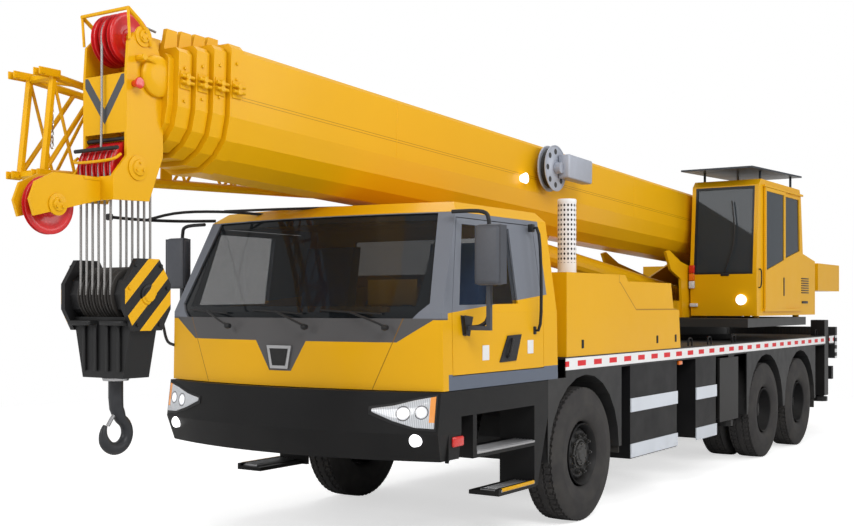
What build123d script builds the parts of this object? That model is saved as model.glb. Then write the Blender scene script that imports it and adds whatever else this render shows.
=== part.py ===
from build123d import *
import math
import os

os.makedirs("parts", exist_ok=True)

# A three-axle truck crane with a five-section boom, stowed for the road.
# X points forward, Y to the vehicle's left and Z up. The ground is Z = 0 and all sizes are in
# millimetres. The origin is the middle of the vehicle's length and width, on the ground.

# ---- Driving dimensions -------------------------------------------------------------------------
VEHICLE_WIDTH = 2500
REAR_X = -6265  # rear face of the tail beam
FRONT_AXLE_X = 1805
WHEELBASE = 4725  # front axle to the first axle of the bogie
BOGIE_SPACING = 1370

TYRE_DIAMETER = 1085
TYRE_WIDTH = 300
TWIN_GAP = 40
RIM_RADIUS = 250
RIM_WALL = 12
SPINDLE_RADIUS = 45
KINGPIN_Y = 980
KINGPIN_RADIUS = 20
STEER_ARCH_RADIUS = 640
REAR_ARCH_RADIUS = 640

FRAME_HALF_WIDTH = 430
RAIL_WIDTH = 80
FRAME_BOTTOM = 850
FRAME_TOP = 1320
FRAME_WALL = 20
CAB_RAIL_TOP = 1100
DECK_THICKNESS = 20
LINER_WIDTH = 640
LINER_THICKNESS = 12
ARCH_SIDES = 24
SKIRT_HEIGHT = 100
SKIRT_THICKNESS = 10

CAB_FLOOR_Z = 1180
CAB_SILL_Z = 1700
CAB_GLASS_TOP_Z = 2395
CAB_ROOF_Z = 2470
CAB_WALL = 45
CAB_REAR = 490  # cab stations ahead of the front axle
CAB_NOSE = 2310
CAB_CORNER = 2120
GLASS_THICKNESS = 6
DOOR_GAP = 6

SLEW_X = -3395
RING_RADIUS = 640
RING_SEAT_HEIGHT = 80
TABLE_THICKNESS = 100
RUNNING_GAP = 0.3  # between faces that slide or turn on each other

BOOM_ANGLE = 2.13  # stowed boom, nose up
BOOM_PIVOT_X = -5595
BOOM_PIVOT_Z = 2590
BOOM_PIN_RADIUS = 60
BOOM_HALF_WIDTH = 360
BOOM_HALF_HEIGHT = 385
TOP_CHAMFER = 30
BASE_SECTION_REAR = -250  # along the boom from its pivot
BASE_SECTION_FRONT = 10612
SECTION_STEP = 30  # from one section's skin to the next one inside it
SECTION_WALL = 12
SECTION_PITCH = 118  # from one collar to the next, stowed
INNER_SECTION_LENGTH = 9600
COLLAR_DEPTH = 12
COLLAR_LENGTH = 106

CYLINDER_BASE_X = -3145
CYLINDER_BASE_Z = 1900
CYLINDER_EYE_X = 505
CYLINDER_EYE_Z = 2290
BARREL_RADIUS = 105
ROD_RADIUS = 65
BARREL_LENGTH = 3350

FRONT_OUTRIGGER_X = -1895
REAR_OUTRIGGER_X = -5715
BEAM_WIDTH = 240
BEAM_HEIGHT = 280
BEAM_BOTTOM = 900
BEAM_OFFSET = 140  # of each beam from the middle of its box
BEAM_CLEARANCE = 6
BOX_WALL = 30
BOX_HALF_LENGTH = 1040
JACK_Y = 1145
JACK_HALF_WIDTH = 92
JACK_NOTCH = 104  # half width of the deck's notch round a rear jack
FRONT_JACK_TOP = 1290
REAR_JACK_TOP = 1550
JACK_ROD_RADIUS = 55
FLOAT_RADIUS = 103
FLOAT_BOTTOM = 460

SHEAVE_X = 5595  # lower sheaves of the boom head, from which the hook block hangs
SHEAVE_Z = 2555
SHEAVE_RADIUS = 165
SHEAVE_COUNT = 6
SHEAVE_PITCH = 52
SHEAVE_HALF_WIDTH = 16
SHEAVE_PIN_RADIUS = 35
GROOVE_DEPTH = 22
SHEAVE_SIDES = 10
ROPE_RADIUS = 8
BLOCK_Z = 1810

# ---- Values that follow from them ---------------------------------------------------------------
HALF_WIDTH = VEHICLE_WIDTH / 2
WHEEL_RADIUS = TYRE_DIAMETER / 2
BOGIE_X = (FRONT_AXLE_X - WHEELBASE, FRONT_AXLE_X - WHEELBASE - BOGIE_SPACING)
OUTER_TYRE_Y = HALF_WIDTH - TYRE_WIDTH / 2
INNER_TYRE_Y = OUTER_TYRE_Y - TYRE_WIDTH - TWIN_GAP
DECK_TOP = FRAME_TOP + DECK_THICKNESS
RING_TOP = FRAME_TOP + RING_SEAT_HEIGHT
TABLE_BOTTOM = RING_TOP + 100
TABLE_TOP = TABLE_BOTTOM + TABLE_THICKNESS
PLATE_INNER_Y = BOOM_HALF_WIDTH + 15
PLATE_OUTER_Y = PLATE_INNER_Y + 30


def ahead(distance):
    """X of a station measured forward from the front axle."""
    return FRONT_AXLE_X + distance


def block(x, y, z, mode=Mode.ADD):
    """A box between two stations along each axis."""
    with Locations(((x[0] + x[1]) / 2, (y[0] + y[1]) / 2, (z[0] + z[1]) / 2)):
        Box(abs(x[1] - x[0]), abs(y[1] - y[0]), abs(z[1] - z[0]), mode=mode)


def across(points, y, mode=Mode.ADD):
    """A side profile of (x, z) corners extruded between two stations across the vehicle."""
    low, high = min(y), max(y)
    with BuildSketch(Plane(origin=(0, high, 0), x_dir=(1, 0, 0), z_dir=(0, -1, 0))) as profile:
        Polygon(*points, align=None)
    extrude(profile.sketch, amount=high - low, mode=mode)


def upward(points, z, mode=Mode.ADD):
    """A plan of (x, y) corners extruded between two heights."""
    with BuildSketch(Plane.XY.offset(z[0])) as plan:
        Polygon(*points, align=None)
    extrude(plan.sketch, amount=z[1] - z[0], mode=mode)


def round_outline(radius, sides, mode):
    """A circle, or flats that stay inside it on a bar and outside it in a bore."""
    if sides:
        RegularPolygon(radius, sides, major_radius=mode == Mode.ADD)
    else:
        Circle(radius)


def corner_radius(flat_radius, sides):
    """Radius over the corners of a bar with flats."""
    return flat_radius / math.cos(math.pi / sides)


def cross_bar(x, z, radius, y, mode=Mode.ADD, sides=0):
    """A round bar across the vehicle, or one with that many flats."""
    low, high = min(y), max(y)
    with BuildSketch(Plane(origin=(x, high, z), x_dir=(1, 0, 0), z_dir=(0, -1, 0))) as disc:
        round_outline(radius, sides, mode)
    extrude(disc.sketch, amount=high - low, mode=mode)


def post(x, y, radius, z, mode=Mode.ADD, sides=0):
    """An upright round bar, or one with that many flats."""
    with BuildSketch(Plane.XY.offset(z[0])) as disc:
        with Locations((x, y)):
            round_outline(radius, sides, mode)
    extrude(disc.sketch, amount=z[1] - z[0], mode=mode)


def strut(start, end, radius, sides=6):
    """A straight bar with flats between two points."""
    first, last = Vector(start), Vector(end)
    with BuildSketch(Plane(origin=first, z_dir=last - first)) as disc:
        round_outline(radius, sides, Mode.ADD)
    extrude(disc.sketch, amount=(last - first).length)


def finish(builder, label):
    """Label one finished piece and write it out."""
    builder.part.label = label
    export_step(builder.part, f"parts/{label}.step")


# ---- Frames along the boom and the luffing cylinder ---------------------------------------------
BOOM_ALONG = (math.cos(math.radians(BOOM_ANGLE)), 0, math.sin(math.radians(BOOM_ANGLE)))
CYLINDER_REACH = math.hypot(CYLINDER_EYE_X - CYLINDER_BASE_X, CYLINDER_EYE_Z - CYLINDER_BASE_Z)
CYLINDER_ALONG = (
    (CYLINDER_EYE_X - CYLINDER_BASE_X) / CYLINDER_REACH,
    0,
    (CYLINDER_EYE_Z - CYLINDER_BASE_Z) / CYLINDER_REACH,
)


def boom_side(y):
    """Side view of the boom at one station across it: x runs along the boom from its pivot."""
    return Plane(origin=(BOOM_PIVOT_X, y, BOOM_PIVOT_Z), x_dir=BOOM_ALONG, z_dir=(0, -1, 0))


def boom_cut(along):
    """Cross-section plane of the boom at one distance from its pivot: x is across, y is up."""
    origin = Vector(BOOM_PIVOT_X, 0, BOOM_PIVOT_Z) + Vector(*BOOM_ALONG) * along
    return Plane(origin=origin, x_dir=(0, 1, 0), z_dir=BOOM_ALONG)


def boom_plate(points, y, mode=Mode.ADD):
    """A side profile in the boom's own frame, extruded between two stations across it."""
    low, high = min(y), max(y)
    with BuildSketch(boom_side(high)) as profile:
        Polygon(*points, align=None)
    extrude(profile.sketch, amount=high - low, mode=mode)


def boom_bar(along, up, radius, y, mode=Mode.ADD, sides=0):
    """A round bar across the boom, or one with that many flats, placed in the boom's own frame."""
    low, high = min(y), max(y)
    with BuildSketch(boom_side(high)) as disc:
        with Locations((along, up)):
            round_outline(radius, sides, mode)
    extrude(disc.sketch, amount=high - low, mode=mode)


def to_boom(x, z):
    """A point of the vehicle's side view in the boom's own frame."""
    dx, dz = x - BOOM_PIVOT_X, z - BOOM_PIVOT_Z
    return (dx * BOOM_ALONG[0] + dz * BOOM_ALONG[2], dz * BOOM_ALONG[0] - dx * BOOM_ALONG[2])


def boom_outline(inset):
    """Corners of a boom section: flat top, upright sides and a faceted belly, moved inwards."""
    w, h = BOOM_HALF_WIDTH, BOOM_HALF_HEIGHT
    belly = [(w, h), (w, -0.16 * h), (w - 30, -0.54 * h), (0.69 * w, -0.81 * h), (0.35 * w, -h), (0, -h)]
    half = [(w - inset - TOP_CHAMFER, h - inset), (w - inset, h - inset - TOP_CHAMFER)]
    for before, here, after in zip(belly, belly[1:], belly[2:]):
        half.append(inset_corner(before, here, after, inset))
    return half + [(-y, z) for y, z in reversed(half)]


def inset_corner(before, here, after, inset):
    """Where the two sides that meet at a corner cross once both have moved inwards."""
    lines = []
    for start, end in ((before, here), (here, after)):
        length = math.hypot(end[0] - start[0], end[1] - start[1])
        normal = ((end[1] - start[1]) / length, -(end[0] - start[0]) / length)
        lines.append((normal, normal[0] * start[0] + normal[1] * start[1] + inset))
    (a, b), first = lines[0]
    (c, d), second = lines[1]
    determinant = a * d - b * c
    return ((first * d - second * b) / determinant, (a * second - c * first) / determinant)


def boom_tube(inset, wall, start, length, mode=Mode.ADD):
    """A hollow length of boom section."""
    with BuildSketch(boom_cut(start)) as ring:
        Polygon(*boom_outline(inset), align=None)
        Polygon(*boom_outline(inset + wall), align=None, mode=Mode.SUBTRACT)
    extrude(ring.sketch, amount=length, mode=mode)


# ==== Carrier ====================================================================================
FRAME_REAR = REAR_X + 90
BOX_GIRDER_FRONT = ahead(-2100)
NOSE_RAIL = ahead(2050)

with BuildPart() as chassis_frame:
    rail = [
        (NOSE_RAIL, FRAME_BOTTOM),
        (NOSE_RAIL, CAB_RAIL_TOP),
        (ahead(430), CAB_RAIL_TOP),
        (ahead(180), FRAME_TOP),
        (BOX_GIRDER_FRONT, FRAME_TOP),
        (BOX_GIRDER_FRONT, FRAME_BOTTOM),
    ]
    for side in (1, -1):
        across(rail, (side * (FRAME_HALF_WIDTH - RAIL_WIDTH), side * FRAME_HALF_WIDTH))
    block((NOSE_RAIL - 100, NOSE_RAIL), (-FRAME_HALF_WIDTH, FRAME_HALF_WIDTH), (FRAME_BOTTOM, CAB_RAIL_TOP))
    for mount_x in (ahead(700), ahead(1850)):
        for side in (1, -1):
            block(
                (mount_x - 60, mount_x + 60),
                (side * (FRAME_HALF_WIDTH - RAIL_WIDTH), side * FRAME_HALF_WIDTH),
                (CAB_RAIL_TOP, CAB_FLOOR_Z),
            )
    block((FRAME_REAR, BOX_GIRDER_FRONT), (-FRAME_HALF_WIDTH, FRAME_HALF_WIDTH), (FRAME_BOTTOM, FRAME_TOP))
    block(
        (FRAME_REAR - 1, BOX_GIRDER_FRONT + 1),
        (-FRAME_HALF_WIDTH + FRAME_WALL, FRAME_HALF_WIDTH - FRAME_WALL),
        (FRAME_BOTTOM + FRAME_WALL, FRAME_TOP - FRAME_WALL),
        Mode.SUBTRACT,
    )
    post(SLEW_X, 0, RING_RADIUS, (FRAME_TOP, RING_TOP))
    for outrigger_x in (FRONT_OUTRIGGER_X, REAR_OUTRIGGER_X):
        half = BEAM_OFFSET + BEAM_WIDTH / 2 + BEAM_CLEARANCE + BOX_WALL
        top = BEAM_BOTTOM + BEAM_HEIGHT + BEAM_CLEARANCE
        block(
            (outrigger_x - half, outrigger_x + half),
            (-BOX_HALF_LENGTH, BOX_HALF_LENGTH),
            (BEAM_BOTTOM - RUNNING_GAP - BOX_WALL, top + BOX_WALL),
        )
        for side in (1, -1):
            channel = outrigger_x + side * BEAM_OFFSET
            reach = BEAM_WIDTH / 2 + BEAM_CLEARANCE
            block(
                (channel - reach, channel + reach),
                (-BOX_HALF_LENGTH - 1, BOX_HALF_LENGTH + 1),
                (BEAM_BOTTOM - RUNNING_GAP, top),
                Mode.SUBTRACT,
            )
    block((REAR_X, FRAME_REAR), (-1150, 1150), (720, 900))
    block((REAR_X, FRAME_REAR), (-FRAME_HALF_WIDTH, FRAME_HALF_WIDTH), (900, FRAME_TOP))
finish(chassis_frame, "chassis_frame")

DECK_REAR = ahead(-7700)
DECK_FRONT = ahead(350)
BAY_HALF_WIDTH = 520
BAY_REAR = ahead(-2050)
BAY_FRONT = ahead(320)


def arch(wheel_x, radius, front, rear):
    """Both sides of a wheel arch: an upright panel cut round the wheel, and its liner."""
    skirt_bottom = FRAME_TOP - SKIRT_HEIGHT
    for side in (1, -1):
        outer, inner = side * HALF_WIDTH, side * (HALF_WIDTH - LINER_WIDTH)
        panel = [(rear, WHEEL_RADIUS), (rear, skirt_bottom), (front, skirt_bottom), (front, WHEEL_RADIUS)]
        across(panel, (outer - side * SKIRT_THICKNESS, outer))
        cross_bar(wheel_x, WHEEL_RADIUS, radius + LINER_THICKNESS, (inner, outer), sides=ARCH_SIDES)
        cross_bar(wheel_x, WHEEL_RADIUS, radius, (inner, outer), Mode.SUBTRACT, sides=ARCH_SIDES)
        low = (WHEEL_RADIUS - 2 * radius, WHEEL_RADIUS)
        block((wheel_x - 2 * radius, wheel_x + 2 * radius), (inner, outer), low, Mode.SUBTRACT)


with BuildPart() as deck:
    block((DECK_REAR, DECK_FRONT), (-HALF_WIDTH, HALF_WIDTH), (FRAME_TOP, DECK_TOP))
    for side in (1, -1):
        block(
            (DECK_REAR, DECK_FRONT),
            (side * (HALF_WIDTH - SKIRT_THICKNESS), side * HALF_WIDTH),
            (FRAME_TOP - SKIRT_HEIGHT, FRAME_TOP),
        )
    block((BAY_REAR, BAY_FRONT), (-BAY_HALF_WIDTH, BAY_HALF_WIDTH), (FRAME_TOP, DECK_TOP), Mode.SUBTRACT)
    post(SLEW_X, 0, RING_RADIUS + 5, (FRAME_TOP, DECK_TOP), Mode.SUBTRACT)
    arch(BOGIE_X[0], REAR_ARCH_RADIUS, BOGIE_X[0] + 690, BOGIE_X[0] - BOGIE_SPACING / 2)
    arch(BOGIE_X[1], REAR_ARCH_RADIUS, BOGIE_X[1] + BOGIE_SPACING / 2, BOGIE_X[1] - 690)
    arch(FRONT_AXLE_X, STEER_ARCH_RADIUS, ahead(STEER_ARCH_RADIUS + LINER_THICKNESS), ahead(-700))
    block((DECK_FRONT, ahead(STEER_ARCH_RADIUS + 20)), (-HALF_WIDTH, HALF_WIDTH), (CAB_FLOOR_Z, DECK_TOP), Mode.SUBTRACT)
    for side in (1, -1):
        block((DECK_REAR - 180, DECK_REAR - 90), (side * 1150, side * HALF_WIDTH), (FRAME_TOP - 300, 1450))
    block((DECK_REAR - 180, DECK_REAR - 160), (-HALF_WIDTH, HALF_WIDTH), (FRAME_TOP, 1450))
    block((DECK_REAR - 160, DECK_REAR), (-HALF_WIDTH, HALF_WIDTH), (FRAME_TOP, DECK_TOP))
    for side in (1, -1):
        jack_x = REAR_OUTRIGGER_X + side * BEAM_OFFSET
        block(
            (jack_x - JACK_NOTCH, jack_x + JACK_NOTCH),
            (side * (JACK_Y - JACK_NOTCH), side * (HALF_WIDTH + 1)),
            (FRAME_TOP - SKIRT_HEIGHT - 1, DECK_TOP + 1),
            Mode.SUBTRACT,
        )
finish(deck, "deck")

# ---- Boxes, tanks and guards under the deck -----------------------------------------------------
GUARD_THICKNESS = 12
GUARD_HEIGHT = 120

with BuildPart() as side_boxes:
    for side in (1, -1):
        for front, rear, bottom in ((ahead(-910), ahead(-2000), 400), (ahead(-2500), ahead(-3080), 430)):
            face = side * (HALF_WIDTH - GUARD_THICKNESS)
            block((rear, front), (side * 560, face), (bottom, FRAME_TOP - SKIRT_HEIGHT))
            block((rear + 60, front - 60), (side * FRAME_HALF_WIDTH, side * 560), (900, 1100))
            for rail_z in (470, 870):
                block((rear, front), (face, side * HALF_WIDTH), (rail_z - GUARD_HEIGHT / 2, rail_z + GUARD_HEIGHT / 2))
finish(side_boxes, "side_boxes")

# ---- Bumper and side steps ----------------------------------------------------------------------
BUMPER_TOP = 1175
BUMPER_BOTTOM = 715


def bowed_plan(level, nose, corner, half_width, rear):
    """Plan of the cab or bumper at one height: flat back, straight sides and a bowed front."""
    with BuildSketch(Plane.XY.offset(level)) as plan:
        with BuildLine():
            Polyline((corner, half_width), (rear, half_width), (rear, -half_width), (corner, -half_width))
            ThreePointArc((corner, -half_width), (nose, 0), (corner, half_width))
        make_face()
    return plan.sketch


def stacked_plans(plans, mode=Mode.ADD):
    """Ruled solids between the plans of (level, nose, corner, half width, rear), from the bottom up."""
    for lower, upper in zip(plans, plans[1:]):
        loft([bowed_plan(*lower), bowed_plan(*upper)], ruled=True, mode=mode)


with BuildPart() as bumper:
    outer = [
        (BUMPER_BOTTOM, ahead(2360), ahead(2130), HALF_WIDTH - 20, ahead(1900)),
        (900, ahead(2410), ahead(2190), HALF_WIDTH, ahead(1900)),
        (BUMPER_TOP, ahead(2370), ahead(2150), HALF_WIDTH, ahead(1900)),
    ]
    stacked_plans(outer)
    inner = [
        (BUMPER_BOTTOM, ahead(2300), ahead(2080), HALF_WIDTH - 60, ahead(1800)),
        (BUMPER_TOP, ahead(2310), ahead(2090), HALF_WIDTH - 60, ahead(1800)),
    ]
    stacked_plans(inner, Mode.SUBTRACT)
    for side in (1, -1):
        block((NOSE_RAIL, ahead(2320)), (side * 350, side * FRAME_HALF_WIDTH), (FRAME_BOTTOM + 40, CAB_RAIL_TOP - 40))
        skirt = [
            (ahead(2060), BUMPER_TOP),
            (ahead(STEER_ARCH_RADIUS + 15), BUMPER_TOP),
            (ahead(STEER_ARCH_RADIUS + 15), 900),
            (ahead(820), 400),
            (ahead(1400), 400),
            (ahead(1400), 440),
            (ahead(860), 440),
            (ahead(860), 1000),
            (ahead(1900), 1000),
            (ahead(2060), 700),
        ]
        across(skirt, (side * (HALF_WIDTH - 30), side * HALF_WIDTH))
        block((ahead(840), ahead(1400)), (side * 1000, side * HALF_WIDTH), (390, 420))
        block((ahead(840), ahead(1750)), (side * 950, side * HALF_WIDTH), (700, 730))
        block((ahead(840), ahead(870)), (side * 950, side * HALF_WIDTH), (390, 1000))
        block((ahead(1700), ahead(1750)), (side * 950, side * HALF_WIDTH), (700, 1010))
finish(bumper, "bumper")

# ---- Driver's cab -------------------------------------------------------------------------------
CAB_REAR_X = ahead(CAB_REAR)
CAB_NOSE_X = ahead(CAB_NOSE)
CAB_CORNER_X = ahead(CAB_CORNER)


def cab_solid(inset, mode=Mode.ADD):
    """The cab's outer form, or the room inside it when moved inwards by the wall."""
    rear = CAB_REAR_X + inset
    plans = [
        (CAB_FLOOR_Z + inset, CAB_NOSE_X - inset, CAB_CORNER_X - inset, HALF_WIDTH - inset, rear),
        (CAB_SILL_Z, CAB_NOSE_X - inset, CAB_CORNER_X - inset, HALF_WIDTH - 10 - inset, rear),
        (CAB_GLASS_TOP_Z, ahead(1940) - inset, ahead(1800) - inset, HALF_WIDTH - 110 - inset, rear),
        (CAB_ROOF_Z - inset, ahead(1840) - inset, ahead(1700) - inset, HALF_WIDTH - 190 - inset, rear + 30),
    ]
    stacked_plans(plans, mode)


with BuildPart() as cab_body:
    cab_solid(0)
    cab_solid(CAB_WALL, Mode.SUBTRACT)

DOOR_FRONT = ahead(2000)
DOOR_REAR = ahead(720)
DOOR_OUTLINE = [
    (DOOR_FRONT, CAB_FLOOR_Z + 100),
    (DOOR_FRONT, CAB_SILL_Z),
    (ahead(1800), 2350),
    (DOOR_REAR, 2350),
    (DOOR_REAR, CAB_FLOOR_Z + 100),
]
WINDOW_OUTLINE = [
    (ahead(1900), CAB_SILL_Z + 50),
    (ahead(1740), 2310),
    (ahead(1090), 2310),
    (ahead(1090), CAB_SILL_Z + 60),
]
SCREEN_OUTLINE = [
    (1040, CAB_SILL_Z - 40),
    (1140, CAB_SILL_Z + 60),
    (1020, CAB_GLASS_TOP_Z - 10),
    (-1020, CAB_GLASS_TOP_Z - 10),
    (-1140, CAB_SILL_Z + 60),
    (-1040, CAB_SILL_Z - 40),
]
BACK_OUTLINE = [(700, 1900), (700, 2290), (-700, 2290), (-700, 1900)]


def grown(points, margin):
    """An outline whose corners all move away from its middle by one margin."""
    middle_x = sum(x for x, z in points) / len(points)
    middle_z = sum(z for x, z in points) / len(points)
    return [
        (x + (margin if x > middle_x else -margin), z + (margin if z > middle_z else -margin)) for x, z in points
    ]


with BuildPart() as cab_shell:
    add(cab_body.part)
    for side in (1, -1):
        across(grown(DOOR_OUTLINE, DOOR_GAP), (side * (HALF_WIDTH - 260), side * (HALF_WIDTH + 20)), Mode.SUBTRACT)
    with BuildSketch(Plane.YZ.offset(ahead(1700))) as windscreen:
        Polygon(*SCREEN_OUTLINE, align=None)
    extrude(windscreen.sketch, amount=900, mode=Mode.SUBTRACT)
    with BuildSketch(Plane.YZ.offset(CAB_REAR_X - 50)) as rear_window:
        Polygon(*BACK_OUTLINE, align=None)
    extrude(rear_window.sketch, amount=200, mode=Mode.SUBTRACT)
finish(cab_shell, "cab_shell")

with BuildPart() as cab_pane_skin:
    cab_solid(14)
    cab_solid(14 + GLASS_THICKNESS, Mode.SUBTRACT)

with BuildPart() as cab_glass:
    add(cab_pane_skin.part)
    with BuildSketch(Plane.YZ.offset(CAB_REAR_X - 50)) as panes:
        Polygon(*SCREEN_OUTLINE, align=None)
    extrude(panes.sketch, amount=3000, mode=Mode.INTERSECT)
    block((ahead(700), ahead(1650)), (-1400, 1400), (1000, 2600), Mode.SUBTRACT)
    with BuildSketch(Plane.YZ.offset(CAB_REAR_X - 50)) as around:
        Rectangle(4000, 6000)
        Polygon(*BACK_OUTLINE, align=None, mode=Mode.SUBTRACT)
    extrude(around.sketch, amount=400, mode=Mode.SUBTRACT)
finish(cab_glass, "cab_glass")



def side_plane(side):
    """An upright plane just outside the cab on its left (1) or right (-1), seen from the right."""
    return Plane(origin=(0, side * (HALF_WIDTH + 20), 0), x_dir=(1, 0, 0), z_dir=(0, -1, 0))


for side, name in ((1, "left"), (-1, "right")):
    with BuildPart() as door:
        add(cab_body.part)
        with BuildSketch(side_plane(side)) as outline:
            Polygon(*DOOR_OUTLINE, align=None)
        extrude(outline.sketch, amount=side * 280, mode=Mode.INTERSECT)
        across(WINDOW_OUTLINE, (side * 900, side * (HALF_WIDTH + 20)), Mode.SUBTRACT)
        block((ahead(1830), ahead(1860)), (side * (HALF_WIDTH - 40), side * 1450), (1580, 1610))
        block((ahead(1830), ahead(1860)), (side * 1420, side * 1450), (1610, 1900))
        block((ahead(1830), ahead(1910)), (side * 1360, side * 1560), (1890, 2280))
    finish(door, f"door_{name}")
    with BuildPart() as door_glass:
        add(cab_pane_skin.part)
        with BuildSketch(side_plane(side)) as light:
            Polygon(*WINDOW_OUTLINE, align=None)
        extrude(light.sketch, amount=side * 280, mode=Mode.INTERSECT)
    finish(door_glass, f"door_glass_{name}")

with BuildPart() as cab_interior:
    floor = CAB_FLOOR_Z + CAB_WALL
    cab_solid(CAB_WALL)
    block((ahead(1950), ahead(2400)), (-HALF_WIDTH, HALF_WIDTH), (floor, 1620), Mode.INTERSECT)
    for seat_y in (620, -620):
        block((ahead(1000), ahead(1350)), (seat_y - 200, seat_y + 200), (floor, floor + 300))
        block((ahead(950), ahead(1450)), (seat_y - 250, seat_y + 250), (floor + 300, floor + 430))
        backrest = [(ahead(950), floor + 430), (ahead(1070), floor + 430)]
        backrest += [(ahead(960), floor + 1000), (ahead(860), floor + 1000)]
        across(backrest, (seat_y - 240, seat_y + 240))
    strut((ahead(1970), 620, 1490), (ahead(1795), 620, 1655), 25)
    with BuildSketch(Plane(origin=(ahead(1790), 620, 1660), z_dir=(-0.7, 0, 0.7))) as wheel:
        RegularPolygon(230, 16)
        RegularPolygon(200, 16, mode=Mode.SUBTRACT)
        Rectangle(40, 420)
    extrude(wheel.sketch, amount=15, both=True)
finish(cab_interior, "cab_interior")

# ---- Engine, its cover and the exhaust ----------------------------------------------------------
COVER_WALL = 20
COVER_TOP = 2010
COVER_STEP = 1955
COVER_OUTLINE = [
    (ahead(330), DECK_TOP),
    (ahead(330), COVER_TOP),
    (ahead(-790), COVER_TOP),
    (ahead(-850), COVER_STEP),
    (ahead(-1840), COVER_STEP),
    (ahead(-1900), 1720),
    (ahead(-2040), 1700),
    (ahead(-2080), DECK_TOP),
]
COVER_ROOM = [
    (ahead(330) - COVER_WALL, DECK_TOP),
    (ahead(330) - COVER_WALL, COVER_TOP - COVER_WALL),
    (ahead(-800), COVER_TOP - COVER_WALL),
    (ahead(-860), COVER_STEP - COVER_WALL),
    (ahead(-1820), COVER_STEP - COVER_WALL),
    (ahead(-1885), 1700),
    (ahead(-2020), 1680),
    (ahead(-2058), DECK_TOP),
]

with BuildPart() as engine_cover:
    across(COVER_OUTLINE, (-HALF_WIDTH + 5, HALF_WIDTH - 5))
    across(COVER_ROOM, (-HALF_WIDTH + 5 + COVER_WALL, HALF_WIDTH - 5 - COVER_WALL), Mode.SUBTRACT)
finish(engine_cover, "engine_cover")

with BuildPart() as engine:
    block((ahead(-900), ahead(250)), (-FRAME_HALF_WIDTH + RAIL_WIDTH, FRAME_HALF_WIDTH - RAIL_WIDTH), (700, 1750))
finish(engine, "engine")

EXHAUST_X = ahead(-160)
EXHAUST_Y = 1000
GUARD_RADIUS = 80
with BuildPart() as exhaust:
    post(EXHAUST_X, EXHAUST_Y, GUARD_RADIUS, (COVER_TOP, 2640), sides=12)
    post(EXHAUST_X, EXHAUST_Y, GUARD_RADIUS - 8, (COVER_TOP, 2640), Mode.SUBTRACT, sides=12)
    post(EXHAUST_X, EXHAUST_Y, GUARD_RADIUS - 22, (COVER_TOP, 2620), sides=12)
finish(exhaust, "exhaust")

# ---- Axles, knuckles and wheels -----------------------------------------------------------------
EYE_RADIUS = 50
EYE_HALF_HEIGHT = 60
FORK_HALF_HEIGHT = 98
FRONT_BEAM_HALF_HEIGHT = 52
SPRING_Y = 390
AXLE_TUBE_RADIUS = 80

HUB_RADIUS = 115
WHEEL_SIDES = 18
HOUSING_SIDES = 10


def ring_of_corners(y, radius, sides):
    """Corners of an upright polygon round the Y axis whose flats lie at the radius, one facing down."""
    turn = 2 * math.pi / sides
    corner = radius / math.cos(turn / 2)
    angles = [(index + 0.5) * turn for index in range(sides)]
    return [Vector(corner * math.sin(angle), y, -corner * math.cos(angle)) for angle in angles]


def banded(bands, sides, ends, mode):
    """Flat faces between the polygons of successive (y, radius) bands, with any end faces."""
    rings = [ring_of_corners(y, radius, sides) for y, radius in bands]
    outlines = [rings[0], rings[-1]] if ends else []
    following = rings[1:] if ends else rings[1:] + rings[:1]
    for near, far in zip(rings, following):
        for index in range(sides):
            after = (index + 1) % sides
            outlines.append([near[index], near[after], far[after], far[index]])
    faces = [Face(Wire.make_polygon(outline, close=True)) for outline in outlines]
    add(Solid(Shell(faces)), mode=mode)


def turned(bands, sides, mode=Mode.ADD):
    """A many-sided solid round the Y axis, closed at both ends."""
    banded(bands, sides, True, mode)


def ring(section, sides):
    """A many-sided ring round the Y axis from a closed section of (y, radius) corners."""
    banded(section, sides, False, Mode.ADD)


def mirrored_bands(half_bands):
    """Bands on both sides of a middle plane, from (distance from the middle, radius) pairs."""
    near = [(-offset, radius) for offset, radius in half_bands]
    far = [(offset, radius) for offset, radius in reversed(half_bands)]
    return near + far


with BuildPart() as differential:
    turned(mirrored_bands([(150, 120), (60, 210)]), HOUSING_SIDES)

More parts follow.
